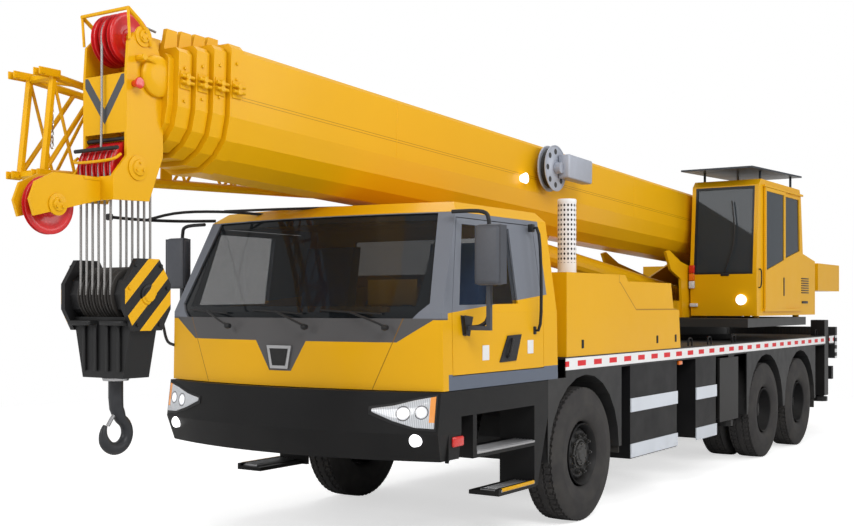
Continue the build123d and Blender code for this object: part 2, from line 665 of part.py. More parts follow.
with BuildPart() as axles:
    block(
        (FRONT_AXLE_X - 45, FRONT_AXLE_X + 45),
        (-KINGPIN_Y, KINGPIN_Y),
        (WHEEL_RADIUS - FRONT_BEAM_HALF_HEIGHT, WHEEL_RADIUS + FRONT_BEAM_HALF_HEIGHT),
    )
    for side in (1, -1):
        eye = (WHEEL_RADIUS - EYE_HALF_HEIGHT, WHEEL_RADIUS + EYE_HALF_HEIGHT)
        post(FRONT_AXLE_X, side * KINGPIN_Y, EYE_RADIUS + 4, eye)
        post(FRONT_AXLE_X, side * KINGPIN_Y, KINGPIN_RADIUS + RUNNING_GAP, eye, Mode.SUBTRACT)
        block(
            (FRONT_AXLE_X - 60, FRONT_AXLE_X + 60),
            (side * (SPRING_Y - 40), side * (SPRING_Y + 40)),
            (WHEEL_RADIUS + FRONT_BEAM_HALF_HEIGHT, FRAME_BOTTOM - 100),
        )
        leaf = [(ahead(-700), FRAME_BOTTOM), (ahead(-640), FRAME_BOTTOM), (ahead(0), 750), (ahead(640), FRAME_BOTTOM)]
        leaf += [(ahead(700), FRAME_BOTTOM), (ahead(0), 700)]
        across(leaf, (side * (SPRING_Y - 40), side * (SPRING_Y + 40)))
    for axle_x in BOGIE_X:
        tube_end = INNER_TYRE_Y - TYRE_WIDTH / 2
        cross_bar(axle_x, WHEEL_RADIUS, AXLE_TUBE_RADIUS, (-tube_end, tube_end), sides=HOUSING_SIDES)
        for side in (1, -1):
            cross_bar(axle_x, WHEEL_RADIUS, SPINDLE_RADIUS, (side * 500, side * 905))
            block(
                (axle_x - 60, axle_x + 60),
                (side * (SPRING_Y - 40), side * (SPRING_Y + 40)),
                (WHEEL_RADIUS, FRAME_BOTTOM),
            )
        with Locations((axle_x, 0, WHEEL_RADIUS)):
            add(differential.part)
finish(axles, "axles")

TYRE_BORE = RIM_RADIUS + RUNNING_GAP
HALF_TYRE = TYRE_WIDTH / 2
TYRE_HALF_SECTION = [
    (HALF_TYRE - 45, TYRE_BORE),
    (HALF_TYRE, 0.71 * WHEEL_RADIUS),
    (HALF_TYRE - 8, 0.9 * WHEEL_RADIUS),
    (HALF_TYRE - 30, WHEEL_RADIUS),
]
with BuildPart() as tyre_shape:
    ring(mirrored_bands(TYRE_HALF_SECTION), WHEEL_SIDES)

RIM_HALF_WIDTH = HALF_TYRE - 20
RIM_INNER = RIM_RADIUS - RIM_WALL
DISC_THICKNESS = 20


def rim(middle, face, dish, outward):
    """One wheel rim round the Y axis: a barrel, and a disc dished out to it from its bolting face."""
    depth = outward * DISC_THICKNESS
    section = [
        (middle - outward * RIM_HALF_WIDTH, RIM_RADIUS),
        (middle + outward * RIM_HALF_WIDTH, RIM_RADIUS),
        (middle + outward * RIM_HALF_WIDTH, RIM_INNER),
        (middle + dish, RIM_INNER),
        (middle + face, HUB_RADIUS - 10),
        (middle + face - depth, HUB_RADIUS - 10),
        (middle + dish - depth, RIM_INNER),
        (middle - outward * RIM_HALF_WIDTH, RIM_INNER),
    ]
    ring(section, WHEEL_SIDES)


def bar_about_y(radius, y, mode=Mode.ADD):
    """A round bar along the Y axis."""
    cross_bar(0, 0, radius, y, mode)


with BuildPart() as front_rim_shape:
    rim(0, 110, 60, 1)
    turned([(1080 - OUTER_TYRE_Y, HUB_RADIUS), (1225 - OUTER_TYRE_Y, HUB_RADIUS)], HOUSING_SIDES)
    bar_about_y(SPINDLE_RADIUS + RUNNING_GAP, (1070 - OUTER_TYRE_Y, 1212 - OUTER_TYRE_Y), Mode.SUBTRACT)

TWIN_MIDDLE_Y = (OUTER_TYRE_Y + INNER_TYRE_Y) / 2
TWIN_HALF_PITCH = (OUTER_TYRE_Y - INNER_TYRE_Y) / 2
with BuildPart() as twin_rims_shape:
    rim(TWIN_HALF_PITCH, DISC_THICKNESS - TWIN_HALF_PITCH, -80, 1)
    rim(-TWIN_HALF_PITCH, TWIN_HALF_PITCH - DISC_THICKNESS, 80, -1)
    turned([(720 - TWIN_MIDDLE_Y, HUB_RADIUS), (1140 - TWIN_MIDDLE_Y, HUB_RADIUS)], HOUSING_SIDES)
    bar_about_y(SPINDLE_RADIUS + RUNNING_GAP, (700 - TWIN_MIDDLE_Y, 907 - TWIN_MIDDLE_Y), Mode.SUBTRACT)


def on_axle(axle_x, side, middle_y):
    """Where a wheel shape sits on an axle, turned to face outwards on its own side."""
    return Location((axle_x, side * middle_y, WHEEL_RADIUS), (0, 0, 0 if side > 0 else 180))


for side, name in ((1, "left"), (-1, "right")):
    with BuildPart() as knuckle:
        pin_x, pin_y = FRONT_AXLE_X, side * KINGPIN_Y
        low, high = WHEEL_RADIUS - FORK_HALF_HEIGHT, WHEEL_RADIUS + FORK_HALF_HEIGHT
        post(pin_x, pin_y, EYE_RADIUS, (low, WHEEL_RADIUS - EYE_HALF_HEIGHT - RUNNING_GAP))
        post(pin_x, pin_y, EYE_RADIUS, (WHEEL_RADIUS + EYE_HALF_HEIGHT + RUNNING_GAP, high))
        cheek = (pin_y, pin_y + side * 90)
        block((pin_x - 45, pin_x + 45), cheek, (low, WHEEL_RADIUS - EYE_HALF_HEIGHT - RUNNING_GAP))
        block((pin_x - 45, pin_x + 45), cheek, (WHEEL_RADIUS + EYE_HALF_HEIGHT + RUNNING_GAP, high))
        block((pin_x - 45, pin_x + 45), (pin_y + side * 65, pin_y + side * 90), (low, high))
        post(pin_x, pin_y, KINGPIN_RADIUS, (low, high))
        cross_bar(pin_x, WHEEL_RADIUS, SPINDLE_RADIUS, (pin_y + side * 80, side * 1210))
    finish(knuckle, f"knuckle_{name}")
    with BuildPart() as front_tyre:
        with Locations(on_axle(FRONT_AXLE_X, side, OUTER_TYRE_Y)):
            add(tyre_shape.part)
    finish(front_tyre, f"tyre_front_{name}")
    with BuildPart() as front_rim:
        with Locations(on_axle(FRONT_AXLE_X, side, OUTER_TYRE_Y)):
            add(front_rim_shape.part)
    finish(front_rim, f"rim_front_{name}")
    for axle_x, axle_name in zip(BOGIE_X, ("middle", "rear")):
        with BuildPart() as twin_tyres:
            with Locations(on_axle(axle_x, side, OUTER_TYRE_Y), on_axle(axle_x, side, INNER_TYRE_Y)):
                add(tyre_shape.part)
        finish(twin_tyres, f"tyres_{axle_name}_{name}")
        with BuildPart() as twin_rims:
            with Locations(on_axle(axle_x, side, TWIN_MIDDLE_Y)):
                add(twin_rims_shape.part)
        finish(twin_rims, f"rims_{axle_name}_{name}")

# ---- Outriggers ---------------------------------------------------------------------------------
COVER_BEHIND = 185  # beam end cover, from the middle of its beam
COVER_AHEAD = 395
COVER_BOTTOM = 530
COVER_TOP_Z = 1195
COVER_THICKNESS = 25

for outrigger_x, end_name, jack_top in (
    (FRONT_OUTRIGGER_X, "front", FRONT_JACK_TOP),
    (REAR_OUTRIGGER_X, "rear", REAR_JACK_TOP),
):
    for side, name in ((1, "left"), (-1, "right")):
        beam_x = outrigger_x + side * BEAM_OFFSET
        jack_y = side * JACK_Y
        with BuildPart() as beam:
            span = (-side * (BOX_HALF_LENGTH - 10), side * (BOX_HALF_LENGTH + 20))
            block((beam_x - BEAM_WIDTH / 2, beam_x + BEAM_WIDTH / 2), span, (BEAM_BOTTOM, BEAM_BOTTOM + BEAM_HEIGHT))
            block(
                (beam_x - JACK_HALF_WIDTH, beam_x + JACK_HALF_WIDTH),
                (jack_y - JACK_HALF_WIDTH, jack_y + JACK_HALF_WIDTH),
                (FLOAT_BOTTOM + 80, jack_top),
            )
            if end_name == "front":
                cover_x = (beam_x - COVER_BEHIND, beam_x + COVER_AHEAD)
                block(cover_x, (side * (HALF_WIDTH - COVER_THICKNESS), side * HALF_WIDTH), (COVER_BOTTOM, COVER_TOP_Z))
            bore = (FLOAT_BOTTOM, jack_top - 20)
            post(beam_x, jack_y, JACK_ROD_RADIUS + RUNNING_GAP, bore, Mode.SUBTRACT, sides=HOUSING_SIDES)
        finish(beam, f"outrigger_beam_{end_name}_{name}")
        with BuildPart() as jack:
            rod_radius = corner_radius(JACK_ROD_RADIUS, HOUSING_SIDES)
            post(beam_x, jack_y, rod_radius, (FLOAT_BOTTOM + 20, FRONT_JACK_TOP - 30), sides=HOUSING_SIDES)
            post(beam_x, jack_y, FLOAT_RADIUS, (FLOAT_BOTTOM, FLOAT_BOTTOM + 60), sides=HOUSING_SIDES)
        finish(jack, f"outrigger_jack_{end_name}_{name}")


# ==== Superstructure =============================================================================
PLATE_OUTLINE = [
    (ahead(-4300), TABLE_TOP),
    (ahead(-4250), 2050),
    (ahead(-3950), 2150),
    (ahead(-3800), 2350),
    (ahead(-3900), 2370),
    (ahead(-4250), 2250),
    (ahead(-5200), 2100),
    (ahead(-6500), 2480),
    (ahead(-7250), 2760),
    (ahead(-7550), 2760),
    (ahead(-7760), 2480),
    (ahead(-7760), 1640),
    (ahead(-6400), TABLE_TOP),
]
CYLINDER_FOOT = [
    (CYLINDER_BASE_X - 160, TABLE_TOP),
    (CYLINDER_BASE_X - 80, CYLINDER_BASE_Z + 60),
    (CYLINDER_BASE_X + 80, CYLINDER_BASE_Z + 60),
    (CYLINDER_BASE_X + 160, TABLE_TOP),
]
with BuildPart() as turntable:
    post(SLEW_X, 0, RING_RADIUS - 20, (RING_TOP + RUNNING_GAP, TABLE_BOTTOM))
    block((ahead(-6420), ahead(-4130)), (-HALF_WIDTH + 20, HALF_WIDTH - 20), (TABLE_BOTTOM, TABLE_TOP))
    for side in (1, -1):
        across(PLATE_OUTLINE, (side * PLATE_INNER_Y, side * PLATE_OUTER_Y))
        across(CYLINDER_FOOT, (side * 80, side * 110))
        boss = (side * PLATE_INNER_Y, side * (PLATE_OUTER_Y + 20))
        cross_bar(BOOM_PIVOT_X, BOOM_PIVOT_Z, 130, boss, sides=HOUSING_SIDES)
        pin_hole = (side * (PLATE_INNER_Y - 10), side * (PLATE_OUTER_Y + 30))
        cross_bar(BOOM_PIVOT_X, BOOM_PIVOT_Z, BOOM_PIN_RADIUS + RUNNING_GAP, pin_hole, Mode.SUBTRACT)
    cross_bar(CYLINDER_BASE_X, CYLINDER_BASE_Z, 50, (-110, 110))
    block((ahead(-7760), ahead(-7700)), (-PLATE_INNER_Y, PLATE_INNER_Y), (1660, 2050))
    block((ahead(-4300), ahead(-4250)), (-PLATE_INNER_Y, PLATE_INNER_Y), (TABLE_TOP, 1800))
finish(turntable, "turntable")

with BuildPart() as counterweight:
    tail = ahead(-8070)
    block((tail, ahead(-7760)), (-HALF_WIDTH + 20, HALF_WIDTH - 20), (1940, 2300))
    block((tail, ahead(-7760)), (-900, 900), (1620, 1940))
    for side in (1, -1):
        block((ahead(-7760), ahead(-6990)), (side * (PLATE_OUTER_Y + 25), side * (HALF_WIDTH - 20)), (1940, 2300))
finish(counterweight, "counterweight")

WINCH_X = ahead(-6300)
WINCH_Z = 1900
with BuildPart() as winch:
    cross_bar(WINCH_X, WINCH_Z, 150, (-250, 250), sides=HOUSING_SIDES)
    for side in (1, -1):
        cross_bar(WINCH_X, WINCH_Z, 210, (side * 250, side * 275), sides=HOUSING_SIDES)
        cross_bar(WINCH_X, WINCH_Z, 90, (side * 275, side * PLATE_INNER_Y), sides=HOUSING_SIDES)
finish(winch, "winch")

# ---- Operator's cab -----------------------------------------------------------------------------
OPERATOR_INNER_Y = 430
OPERATOR_WALL = 40
OPERATOR_BOTTOM = 1625
OPERATOR_ROOF = 3200
OPERATOR_SIDE = [
    (ahead(-4500), OPERATOR_BOTTOM),
    (ahead(-4470), 2120),
    (ahead(-4560), 3130),
    (ahead(-4640), OPERATOR_ROOF),
    (ahead(-6190), OPERATOR_ROOF),
    (ahead(-6250), 3100),
    (ahead(-6340), 2400),
    (ahead(-6900), 2320),
    (ahead(-6900), OPERATOR_BOTTOM),
]
OPERATOR_ROOM = [
    (ahead(-4545), OPERATOR_BOTTOM + OPERATOR_WALL),
    (ahead(-4512), 2120),
    (ahead(-4600), 3120),
    (ahead(-4650), OPERATOR_ROOF - OPERATOR_WALL),
    (ahead(-6160), OPERATOR_ROOF - OPERATOR_WALL),
    (ahead(-6210), 3090),
    (ahead(-6290), 2400),
    (ahead(-6290), OPERATOR_BOTTOM + OPERATOR_WALL),
]
SLIDING_DOOR = [
    (ahead(-4720), OPERATOR_BOTTOM + 80),
    (ahead(-4720), 3110),
    (ahead(-5500), 3110),
    (ahead(-5500), OPERATOR_BOTTOM + 80),
]
SIDE_WINDOW = [
    (ahead(-4760), 2150),
    (ahead(-4760), 3070),
    (ahead(-5440), 3070),
    (ahead(-5440), 2290),
]
REAR_SIDE_WINDOW = [
    (ahead(-5570), 2310),
    (ahead(-5570), 3070),
    (ahead(-6170), 3070),
    (ahead(-6210), 2430),
]
FRONT_WINDOW = [(500, 2130), (500, 3090), (1150, 3090), (1150, 2130)]
CREW_OUTER_Y = HALF_WIDTH - 35
DOOR_RAIL_WIDTH = 30
SLIDING_DOOR_TRAVEL = 680
SLIDING_DOOR_STANDOFF = 5


def front_cut(points, depth, mode):
    """A front-view outline of (y, z) corners carried through the front of the operator's cab."""
    with BuildSketch(Plane.YZ.offset(ahead(-4400))) as outline:
        Polygon(*points, align=None)
    extrude(outline.sketch, amount=-depth, mode=mode)


with BuildPart() as crane_cab:
    across(OPERATOR_SIDE, (OPERATOR_INNER_Y, CREW_OUTER_Y))
    across(OPERATOR_ROOM, (OPERATOR_INNER_Y + OPERATOR_WALL, CREW_OUTER_Y - OPERATOR_WALL), Mode.SUBTRACT)
    across(grown(SLIDING_DOOR, -30), (CREW_OUTER_Y - OPERATOR_WALL - 10, CREW_OUTER_Y + 10), Mode.SUBTRACT)
    for rail in ((OPERATOR_BOTTOM + 50, OPERATOR_BOTTOM + 80 - RUNNING_GAP), (3110 + DOOR_GAP, 3140)):
        block((ahead(-6250), ahead(-4700)), (CREW_OUTER_Y, CREW_OUTER_Y + DOOR_RAIL_WIDTH), rail)
    across(REAR_SIDE_WINDOW, (OPERATOR_INNER_Y - 10, CREW_OUTER_Y + 10), Mode.SUBTRACT)
    front_cut(FRONT_WINDOW, 300, Mode.SUBTRACT)
    visor = [(ahead(-4250), 3310), (ahead(-6200), 3370), (ahead(-6200), 3350), (ahead(-4250), 3290)]
    across(visor, (OPERATOR_INNER_Y - 25, HALF_WIDTH - 10))
    for mount_x in (ahead(-4700), ahead(-6300)):
        for mount_y in (OPERATOR_INNER_Y + 80, CREW_OUTER_Y - 80):
            post(mount_x, mount_y, 40, (TABLE_TOP, OPERATOR_BOTTOM + 5), sides=6)
    for visor_x in (ahead(-4800), ahead(-6000)):
        for visor_y in (OPERATOR_INNER_Y + 60, CREW_OUTER_Y - 60):
            visor_z = 3300 + (ahead(-4250) - visor_x) * 60 / 1950
            post(visor_x, visor_y, 15, (OPERATOR_ROOF - 5, visor_z), sides=6)
finish(crane_cab, "crane_cab")

with BuildPart() as crane_cab_glass:
    front_pane = [
        (ahead(-4480), 2120), (ahead(-4572), 3120), (ahead(-4578), 3120), (ahead(-4486), 2120)
    ]
    across(front_pane, (500, 1150))
    front_cut(FRONT_WINDOW, 300, Mode.INTERSECT)
    across(REAR_SIDE_WINDOW, (CREW_OUTER_Y - 20, CREW_OUTER_Y - 20 + GLASS_THICKNESS))
    across(REAR_SIDE_WINDOW, (OPERATOR_INNER_Y + 12, OPERATOR_INNER_Y + 12 + GLASS_THICKNESS))
finish(crane_cab_glass, "crane_cab_glass")

with BuildPart() as crane_cab_door:
    across(SLIDING_DOOR, (CREW_OUTER_Y + SLIDING_DOOR_STANDOFF, CREW_OUTER_Y + DOOR_RAIL_WIDTH))
    across(SIDE_WINDOW, (CREW_OUTER_Y, CREW_OUTER_Y + DOOR_RAIL_WIDTH + 10), Mode.SUBTRACT)
finish(crane_cab_door, "crane_cab_door")

with BuildPart() as crane_cab_door_glass:
    across(SIDE_WINDOW, (CREW_OUTER_Y + 14, CREW_OUTER_Y + 14 + GLASS_THICKNESS))
finish(crane_cab_door_glass, "crane_cab_door_glass")

with BuildPart() as crane_seat:
    seat_y = (OPERATOR_INNER_Y + CREW_OUTER_Y) / 2
    floor = OPERATOR_BOTTOM + OPERATOR_WALL
    block((ahead(-5800), ahead(-5450)), (seat_y - 180, seat_y + 180), (floor, floor + 350))
    block((ahead(-5900), ahead(-5350)), (seat_y - 240, seat_y + 240), (floor + 350, floor + 470))
    block((ahead(-5950), ahead(-5850)), (seat_y - 230, seat_y + 230), (floor + 470, floor + 1150))
finish(crane_seat, "crane_seat")

# ---- Luffing cylinder ---------------------------------------------------------------------------


def cylinder_frame(distance):
    """Plane square to the luffing cylinder at one distance from its lower pin."""
    origin = Vector(CYLINDER_BASE_X, 0, CYLINDER_BASE_Z) + Vector(*CYLINDER_ALONG) * distance
    return Plane(origin=origin, x_dir=(0, 1, 0), z_dir=CYLINDER_ALONG)


CYLINDER_SIDES = 16


def cylinder_bar(start, length, radius, mode=Mode.ADD):
    """A bar with flats along the luffing cylinder."""
    with BuildSketch(cylinder_frame(start)) as disc:
        round_outline(radius, CYLINDER_SIDES, mode)
    extrude(disc.sketch, amount=length, mode=mode)


LOWER_EYE_HALF_WIDTH = 70
with BuildPart() as luff_barrel:
    cross_bar(CYLINDER_BASE_X, CYLINDER_BASE_Z, 95, (-LOWER_EYE_HALF_WIDTH, LOWER_EYE_HALF_WIDTH))
    cylinder_bar(60, BARREL_LENGTH, BARREL_RADIUS)
    cylinder_bar(150, BARREL_LENGTH, ROD_RADIUS + RUNNING_GAP, Mode.SUBTRACT)
    foot_x = (CYLINDER_BASE_X - 200, CYLINDER_BASE_X + 110)
    foot_z = (CYLINDER_BASE_Z - 200, CYLINDER_BASE_Z + 200)
    for side in (1, -1):
        block(foot_x, (side * LOWER_EYE_HALF_WIDTH, side * 200), foot_z, Mode.SUBTRACT)
    cross_bar(CYLINDER_BASE_X, CYLINDER_BASE_Z, 50 + RUNNING_GAP, (-200, 200), Mode.SUBTRACT)
finish(luff_barrel, "luff_barrel")

with BuildPart() as luff_rod:
    cylinder_bar(180, CYLINDER_REACH - 180 - 60, corner_radius(ROD_RADIUS, CYLINDER_SIDES))
    cross_bar(CYLINDER_EYE_X, CYLINDER_EYE_Z, 85, (-60, 60))
    cross_bar(CYLINDER_EYE_X, CYLINDER_EYE_Z, 40, (-70, 70), Mode.SUBTRACT)
finish(luff_rod, "luff_rod")

# ==== Boom =======================================================================================


def section_front(index):
    """Front end of a boom section, counted from 0 at the base, measured from the boom's pivot."""
    return BASE_SECTION_FRONT + index * SECTION_PITCH


def section_tube(index, start, length):
    """A boom section: its skin, and the collar at its front end on which the next one slides."""
    inset = index * SECTION_STEP
    front = start + length
    boom_tube(inset, SECTION_WALL, start, length)
    boom_tube(inset - COLLAR_DEPTH, COLLAR_DEPTH + SECTION_STEP - RUNNING_GAP, front - COLLAR_LENGTH, COLLAR_LENGTH)
    height = BOOM_HALF_HEIGHT - inset
    for side in (1, -1):
        fin = [
            (front - COLLAR_LENGTH, height + COLLAR_DEPTH - 1),
            (front - COLLAR_LENGTH, height + COLLAR_DEPTH + 70 + 20 * index),
            (front - 20, height + COLLAR_DEPTH + 70 + 20 * index),
            (front, height + COLLAR_DEPTH - 1),
        ]
        boom_plate(fin, (side * 120, side * 150))


with BuildPart() as boom_base:
    section_tube(0, BASE_SECTION_REAR, BASE_SECTION_FRONT - BASE_SECTION_REAR)
    boom_bar(0, 0, BOOM_PIN_RADIUS, (-PLATE_OUTER_Y - 20, PLATE_OUTER_Y + 20))
    eye_along, eye_up = to_boom(CYLINDER_EYE_X, CYLINDER_EYE_Z)
    belly = -BOOM_HALF_HEIGHT
    for side in (1, -1):
        ear = [(eye_along - 260, belly + 1), (eye_along - 70, eye_up - 70), (eye_along + 70, eye_up - 70)]
        ear.append((eye_along + 200, belly + 1))
        boom_plate(ear, (side * 70, side * 100))
        boom_bar(eye_along, eye_up, 60, (side * 70, side * 118))
        rail = [
            (BASE_SECTION_FRONT - 1080, BOOM_HALF_HEIGHT - 1),
            (BASE_SECTION_FRONT - 1080, BOOM_HALF_HEIGHT + 30),
            (BASE_SECTION_FRONT - COLLAR_LENGTH, BOOM_HALF_HEIGHT + 30),
            (BASE_SECTION_FRONT - COLLAR_LENGTH, BOOM_HALF_HEIGHT - 1),
        ]
        boom_plate(rail, (side * 130, side * 140))
finish(boom_base, "boom_base")

REEL_ALONG, REEL_UP = to_boom(ahead(-930), 3000)
REEL_SIDES = 14
with BuildPart() as cable_reel:
    side_y = BOOM_HALF_WIDTH
    boom_bar(REEL_ALONG, REEL_UP, 50, (side_y, side_y + 160), sides=6)
    boom_bar(REEL_ALONG, REEL_UP, 210, (side_y + 60, side_y + 72), sides=REEL_SIDES)
    boom_bar(REEL_ALONG, REEL_UP, 160, (side_y + 60, side_y + 140), sides=REEL_SIDES)
    boom_bar(REEL_ALONG, REEL_UP, 210, (side_y + 128, side_y + 140), sides=REEL_SIDES)
    box = [
        (REEL_ALONG - 520, REEL_UP - 90),
        (REEL_ALONG - 520, REEL_UP + 130),
        (REEL_ALONG - 30, REEL_UP + 130),
        (REEL_ALONG - 30, REEL_UP - 90),
    ]
    boom_plate(box, (side_y + 142, side_y + 260))
    boom_bar(REEL_ALONG, REEL_UP, 60, (side_y + 130, side_y + 200), sides=6)
finish(cable_reel, "cable_reel")

for index in (1, 2, 3):
    with BuildPart() as section:
        front = section_front(index)
        section_tube(index, front - INNER_SECTION_LENGTH, INNER_SECTION_LENGTH)
    finish(section, f"boom_section_{index + 1}")

# ---- Boom head ----------------------------------------------------------------------------------
HEAD_HALF_WIDTH = 190
HEAD_PLATE = 20
HEAD_REAR = 3592  # head stations ahead of the front axle
HEAD_FRONT = 3875
HEAD_TOE_REAR = 3957
HEAD_TOE = 3975
HEAD_OUTLINE = [
    to_boom(ahead(HEAD_REAR), 3190),
    to_boom(ahead(3650), 3320),
    to_boom(ahead(3800), 3352),
    to_boom(ahead(3862), 3290),
    to_boom(ahead(HEAD_FRONT), 3107),
    to_boom(ahead(HEAD_FRONT), 2620),
    to_boom(ahead(HEAD_TOE), 2500),
    to_boom(ahead(HEAD_TOE), 2357),
    to_boom(ahead(3701), 2365),
    to_boom(ahead(HEAD_REAR), 2640),
]
HEAD_FACE = [
    to_boom(ahead(HEAD_FRONT - HEAD_PLATE), 3107),
    to_boom(ahead(HEAD_FRONT), 3107),
    to_boom(ahead(HEAD_FRONT), 2760),
    to_boom(ahead(HEAD_FRONT - HEAD_PLATE), 2760),
]
TOE_FACE = [
    to_boom(ahead(HEAD_TOE_REAR), 2495),
    to_boom(ahead(HEAD_TOE), 2495),
    to_boom(ahead(HEAD_TOE), 2357),
    to_boom(ahead(HEAD_TOE_REAR), 2357),
]
ARM_OUTLINE = [
    to_boom(ahead(HEAD_TOE - 10), 2490),
    to_boom(ahead(4300), 2490),
    to_boom(ahead(4420), 2430),
    to_boom(-REAR_X, 2330),
    to_boom(ahead(4430), 2240),
    to_boom(ahead(HEAD_TOE - 10), 2360),
]
ARM_HALF_WIDTH = 80
TIP_INSET = 4 * SECTION_STEP
TIP_REAR = section_front(4) - INNER_SECTION_LENGTH - 100
TIP_FRONT = to_boom(ahead(HEAD_REAR), 3000)[0]
END_PLATE = 12
LOWER_SHEAVE = to_boom(SHEAVE_X, SHEAVE_Z)
UPPER_SHEAVE = to_boom(ahead(3750), 3335)
AUX_SHEAVE = to_boom(ahead(4277), 2311)
with BuildPart() as boom_tip:
    boom_tube(TIP_INSET, SECTION_WALL, TIP_REAR, TIP_FRONT - TIP_REAR)
    with BuildSketch(boom_cut(TIP_FRONT - 1)) as end_plate:
        Polygon(*boom_outline(TIP_INSET), align=None)
    extrude(end_plate.sketch, amount=END_PLATE)
    inner = HEAD_HALF_WIDTH - HEAD_PLATE
    for side in (1, -1):
        boom_plate(HEAD_OUTLINE, (side * inner, side * HEAD_HALF_WIDTH))
        boom_plate(ARM_OUTLINE, (side * (ARM_HALF_WIDTH - HEAD_PLATE), side * ARM_HALF_WIDTH))
    boom_plate(HEAD_FACE, (-inner, inner))
    boom_plate(TOE_FACE, (-inner, inner))
    for place, width in ((LOWER_SHEAVE, HEAD_HALF_WIDTH), (UPPER_SHEAVE, HEAD_HALF_WIDTH), (AUX_SHEAVE, ARM_HALF_WIDTH)):
        boom_bar(*place, corner_radius(SHEAVE_PIN_RADIUS, SHEAVE_SIDES), (-width, width), sides=SHEAVE_SIDES)
finish(boom_tip, "boom_tip")


def sheave():
    """A grooved sheave round the Y axis, its corners on the sheave's circle, bored for its pin."""
    corner = math.cos(math.pi / SHEAVE_SIDES)
    rim_radius, groove_radius = SHEAVE_RADIUS * corner, (SHEAVE_RADIUS - GROOVE_DEPTH) * corner
    bore = SHEAVE_PIN_RADIUS + 2 * RUNNING_GAP
    half_section = [(SHEAVE_HALF_WIDTH, bore), (SHEAVE_HALF_WIDTH, rim_radius), (ROPE_RADIUS + 1, groove_radius)]
    ring(mirrored_bands(half_section), SHEAVE_SIDES)


def sheave_places(place, stations):
    """Where the sheaves of one row sit: a point in the boom's frame and their places across it."""
    return [Location(boom_side(station).from_local_coords((*place, 0))) for station in stations]


with BuildPart() as sheave_shape:
    sheave()

SHEAVE_STATIONS = [(index - (SHEAVE_COUNT - 1) / 2) * SHEAVE_PITCH for index in range(SHEAVE_COUNT)]
with BuildPart() as sheaves:
    for place, stations in ((LOWER_SHEAVE, SHEAVE_STATIONS), (UPPER_SHEAVE, (-70, 0, 70)), (AUX_SHEAVE, (0,))):
        with Locations(*sheave_places(place, stations)):
            add(sheave_shape.part)
finish(sheaves, "sheaves")

# ---- Hook block ---------------------------------------------------------------------------------
BLOCK_HALF_WIDTH = 280
CHEEK_THICKNESS = 35
BLOCK_THROAT = 1320
ROPE_OFFSET = SHEAVE_RADIUS - GROOVE_DEPTH + ROPE_RADIUS + RUNNING_GAP
SHANK_RADIUS = 45

with BuildPart() as ropes:
    for rope_y in SHEAVE_STATIONS:
        for rope_x in (SHEAVE_X - ROPE_OFFSET, SHEAVE_X + ROPE_OFFSET):
            post(rope_x, rope_y, ROPE_RADIUS, (BLOCK_Z, SHEAVE_Z), sides=6)
finish(ropes, "ropes")

with BuildPart() as hook_block:
    cheek = [
        (SHEAVE_X - 175, BLOCK_Z + 65),
        (SHEAVE_X - 85, BLOCK_Z + 210),
        (SHEAVE_X + 85, BLOCK_Z + 210),
        (SHEAVE_X + 175, BLOCK_Z + 65),
        (SHEAVE_X + 175, BLOCK_Z - 85),
        (SHEAVE_X + 105, BLOCK_Z - 210),
        (SHEAVE_X - 105, BLOCK_Z - 210),
        (SHEAVE_X - 175, BLOCK_Z - 85),
    ]
    for side in (1, -1):
        across(cheek, (side * (BLOCK_HALF_WIDTH - CHEEK_THICKNESS), side * BLOCK_HALF_WIDTH))
    between = (-BLOCK_HALF_WIDTH + CHEEK_THICKNESS, BLOCK_HALF_WIDTH - CHEEK_THICKNESS)
    cross_bar(SHEAVE_X, BLOCK_Z, SHEAVE_RADIUS - GROOVE_DEPTH, between, sides=SHEAVE_SIDES)
    lower = [(-255, 1680), (255, 1680), (175, BLOCK_THROAT), (-175, BLOCK_THROAT)]
    with BuildSketch(Plane.YZ.offset(SHEAVE_X - 100)) as body:
        Polygon(*lower, align=None)
    extrude(body.sketch, amount=200)
    post(SHEAVE_X, 0, SHANK_RADIUS + RUNNING_GAP, (BLOCK_THROAT - 20, 1500), Mode.SUBTRACT)
finish(hook_block, "hook_block")

HOOK_MIDDLE_Z = 985
HOOK_RADIUS = 130
HOOK_THROAT = 60
HOOK_HALF_THICKNESS = 40
BOW_SIDES = 16
with BuildPart() as hook:
    post(SHEAVE_X, 0, SHANK_RADIUS, (HOOK_MIDDLE_Z + 140, 1498))
    with BuildSketch(Plane(origin=(SHEAVE_X, 0, HOOK_MIDDLE_Z), x_dir=(1, 0, 0), z_dir=(0, -1, 0))) as bow:
        RegularPolygon(HOOK_RADIUS, BOW_SIDES)
        with Locations((-75, 110)):
            Rectangle(90, 110)
        with Locations((-10, 155)):
            Rectangle(80, 60)
        with Locations((8, 20)):
            RegularPolygon(HOOK_THROAT, BOW_SIDES, mode=Mode.SUBTRACT)
        with Locations((25, 90)):
            Rectangle(70, 70, mode=Mode.SUBTRACT)
    extrude(bow.sketch, amount=HOOK_HALF_THICKNESS, both=True)
finish(hook, "hook")

# ---- Lattice jib stowed beside the boom ---------------------------------------------------------
JIB_Y = -560
JIB_HALF_WIDTH = 110
CHORD_RADIUS = 25
JIB_TOP = (to_boom(ahead(3890), 3150), to_boom(ahead(540), 2760))
JIB_LOW = (to_boom(ahead(3960), 2550), to_boom(ahead(540), 2660))


def boom_point(place, y):
    """A point of the boom's own frame at one station across the vehicle."""
    return boom_side(y).from_local_coords((*place, 0))


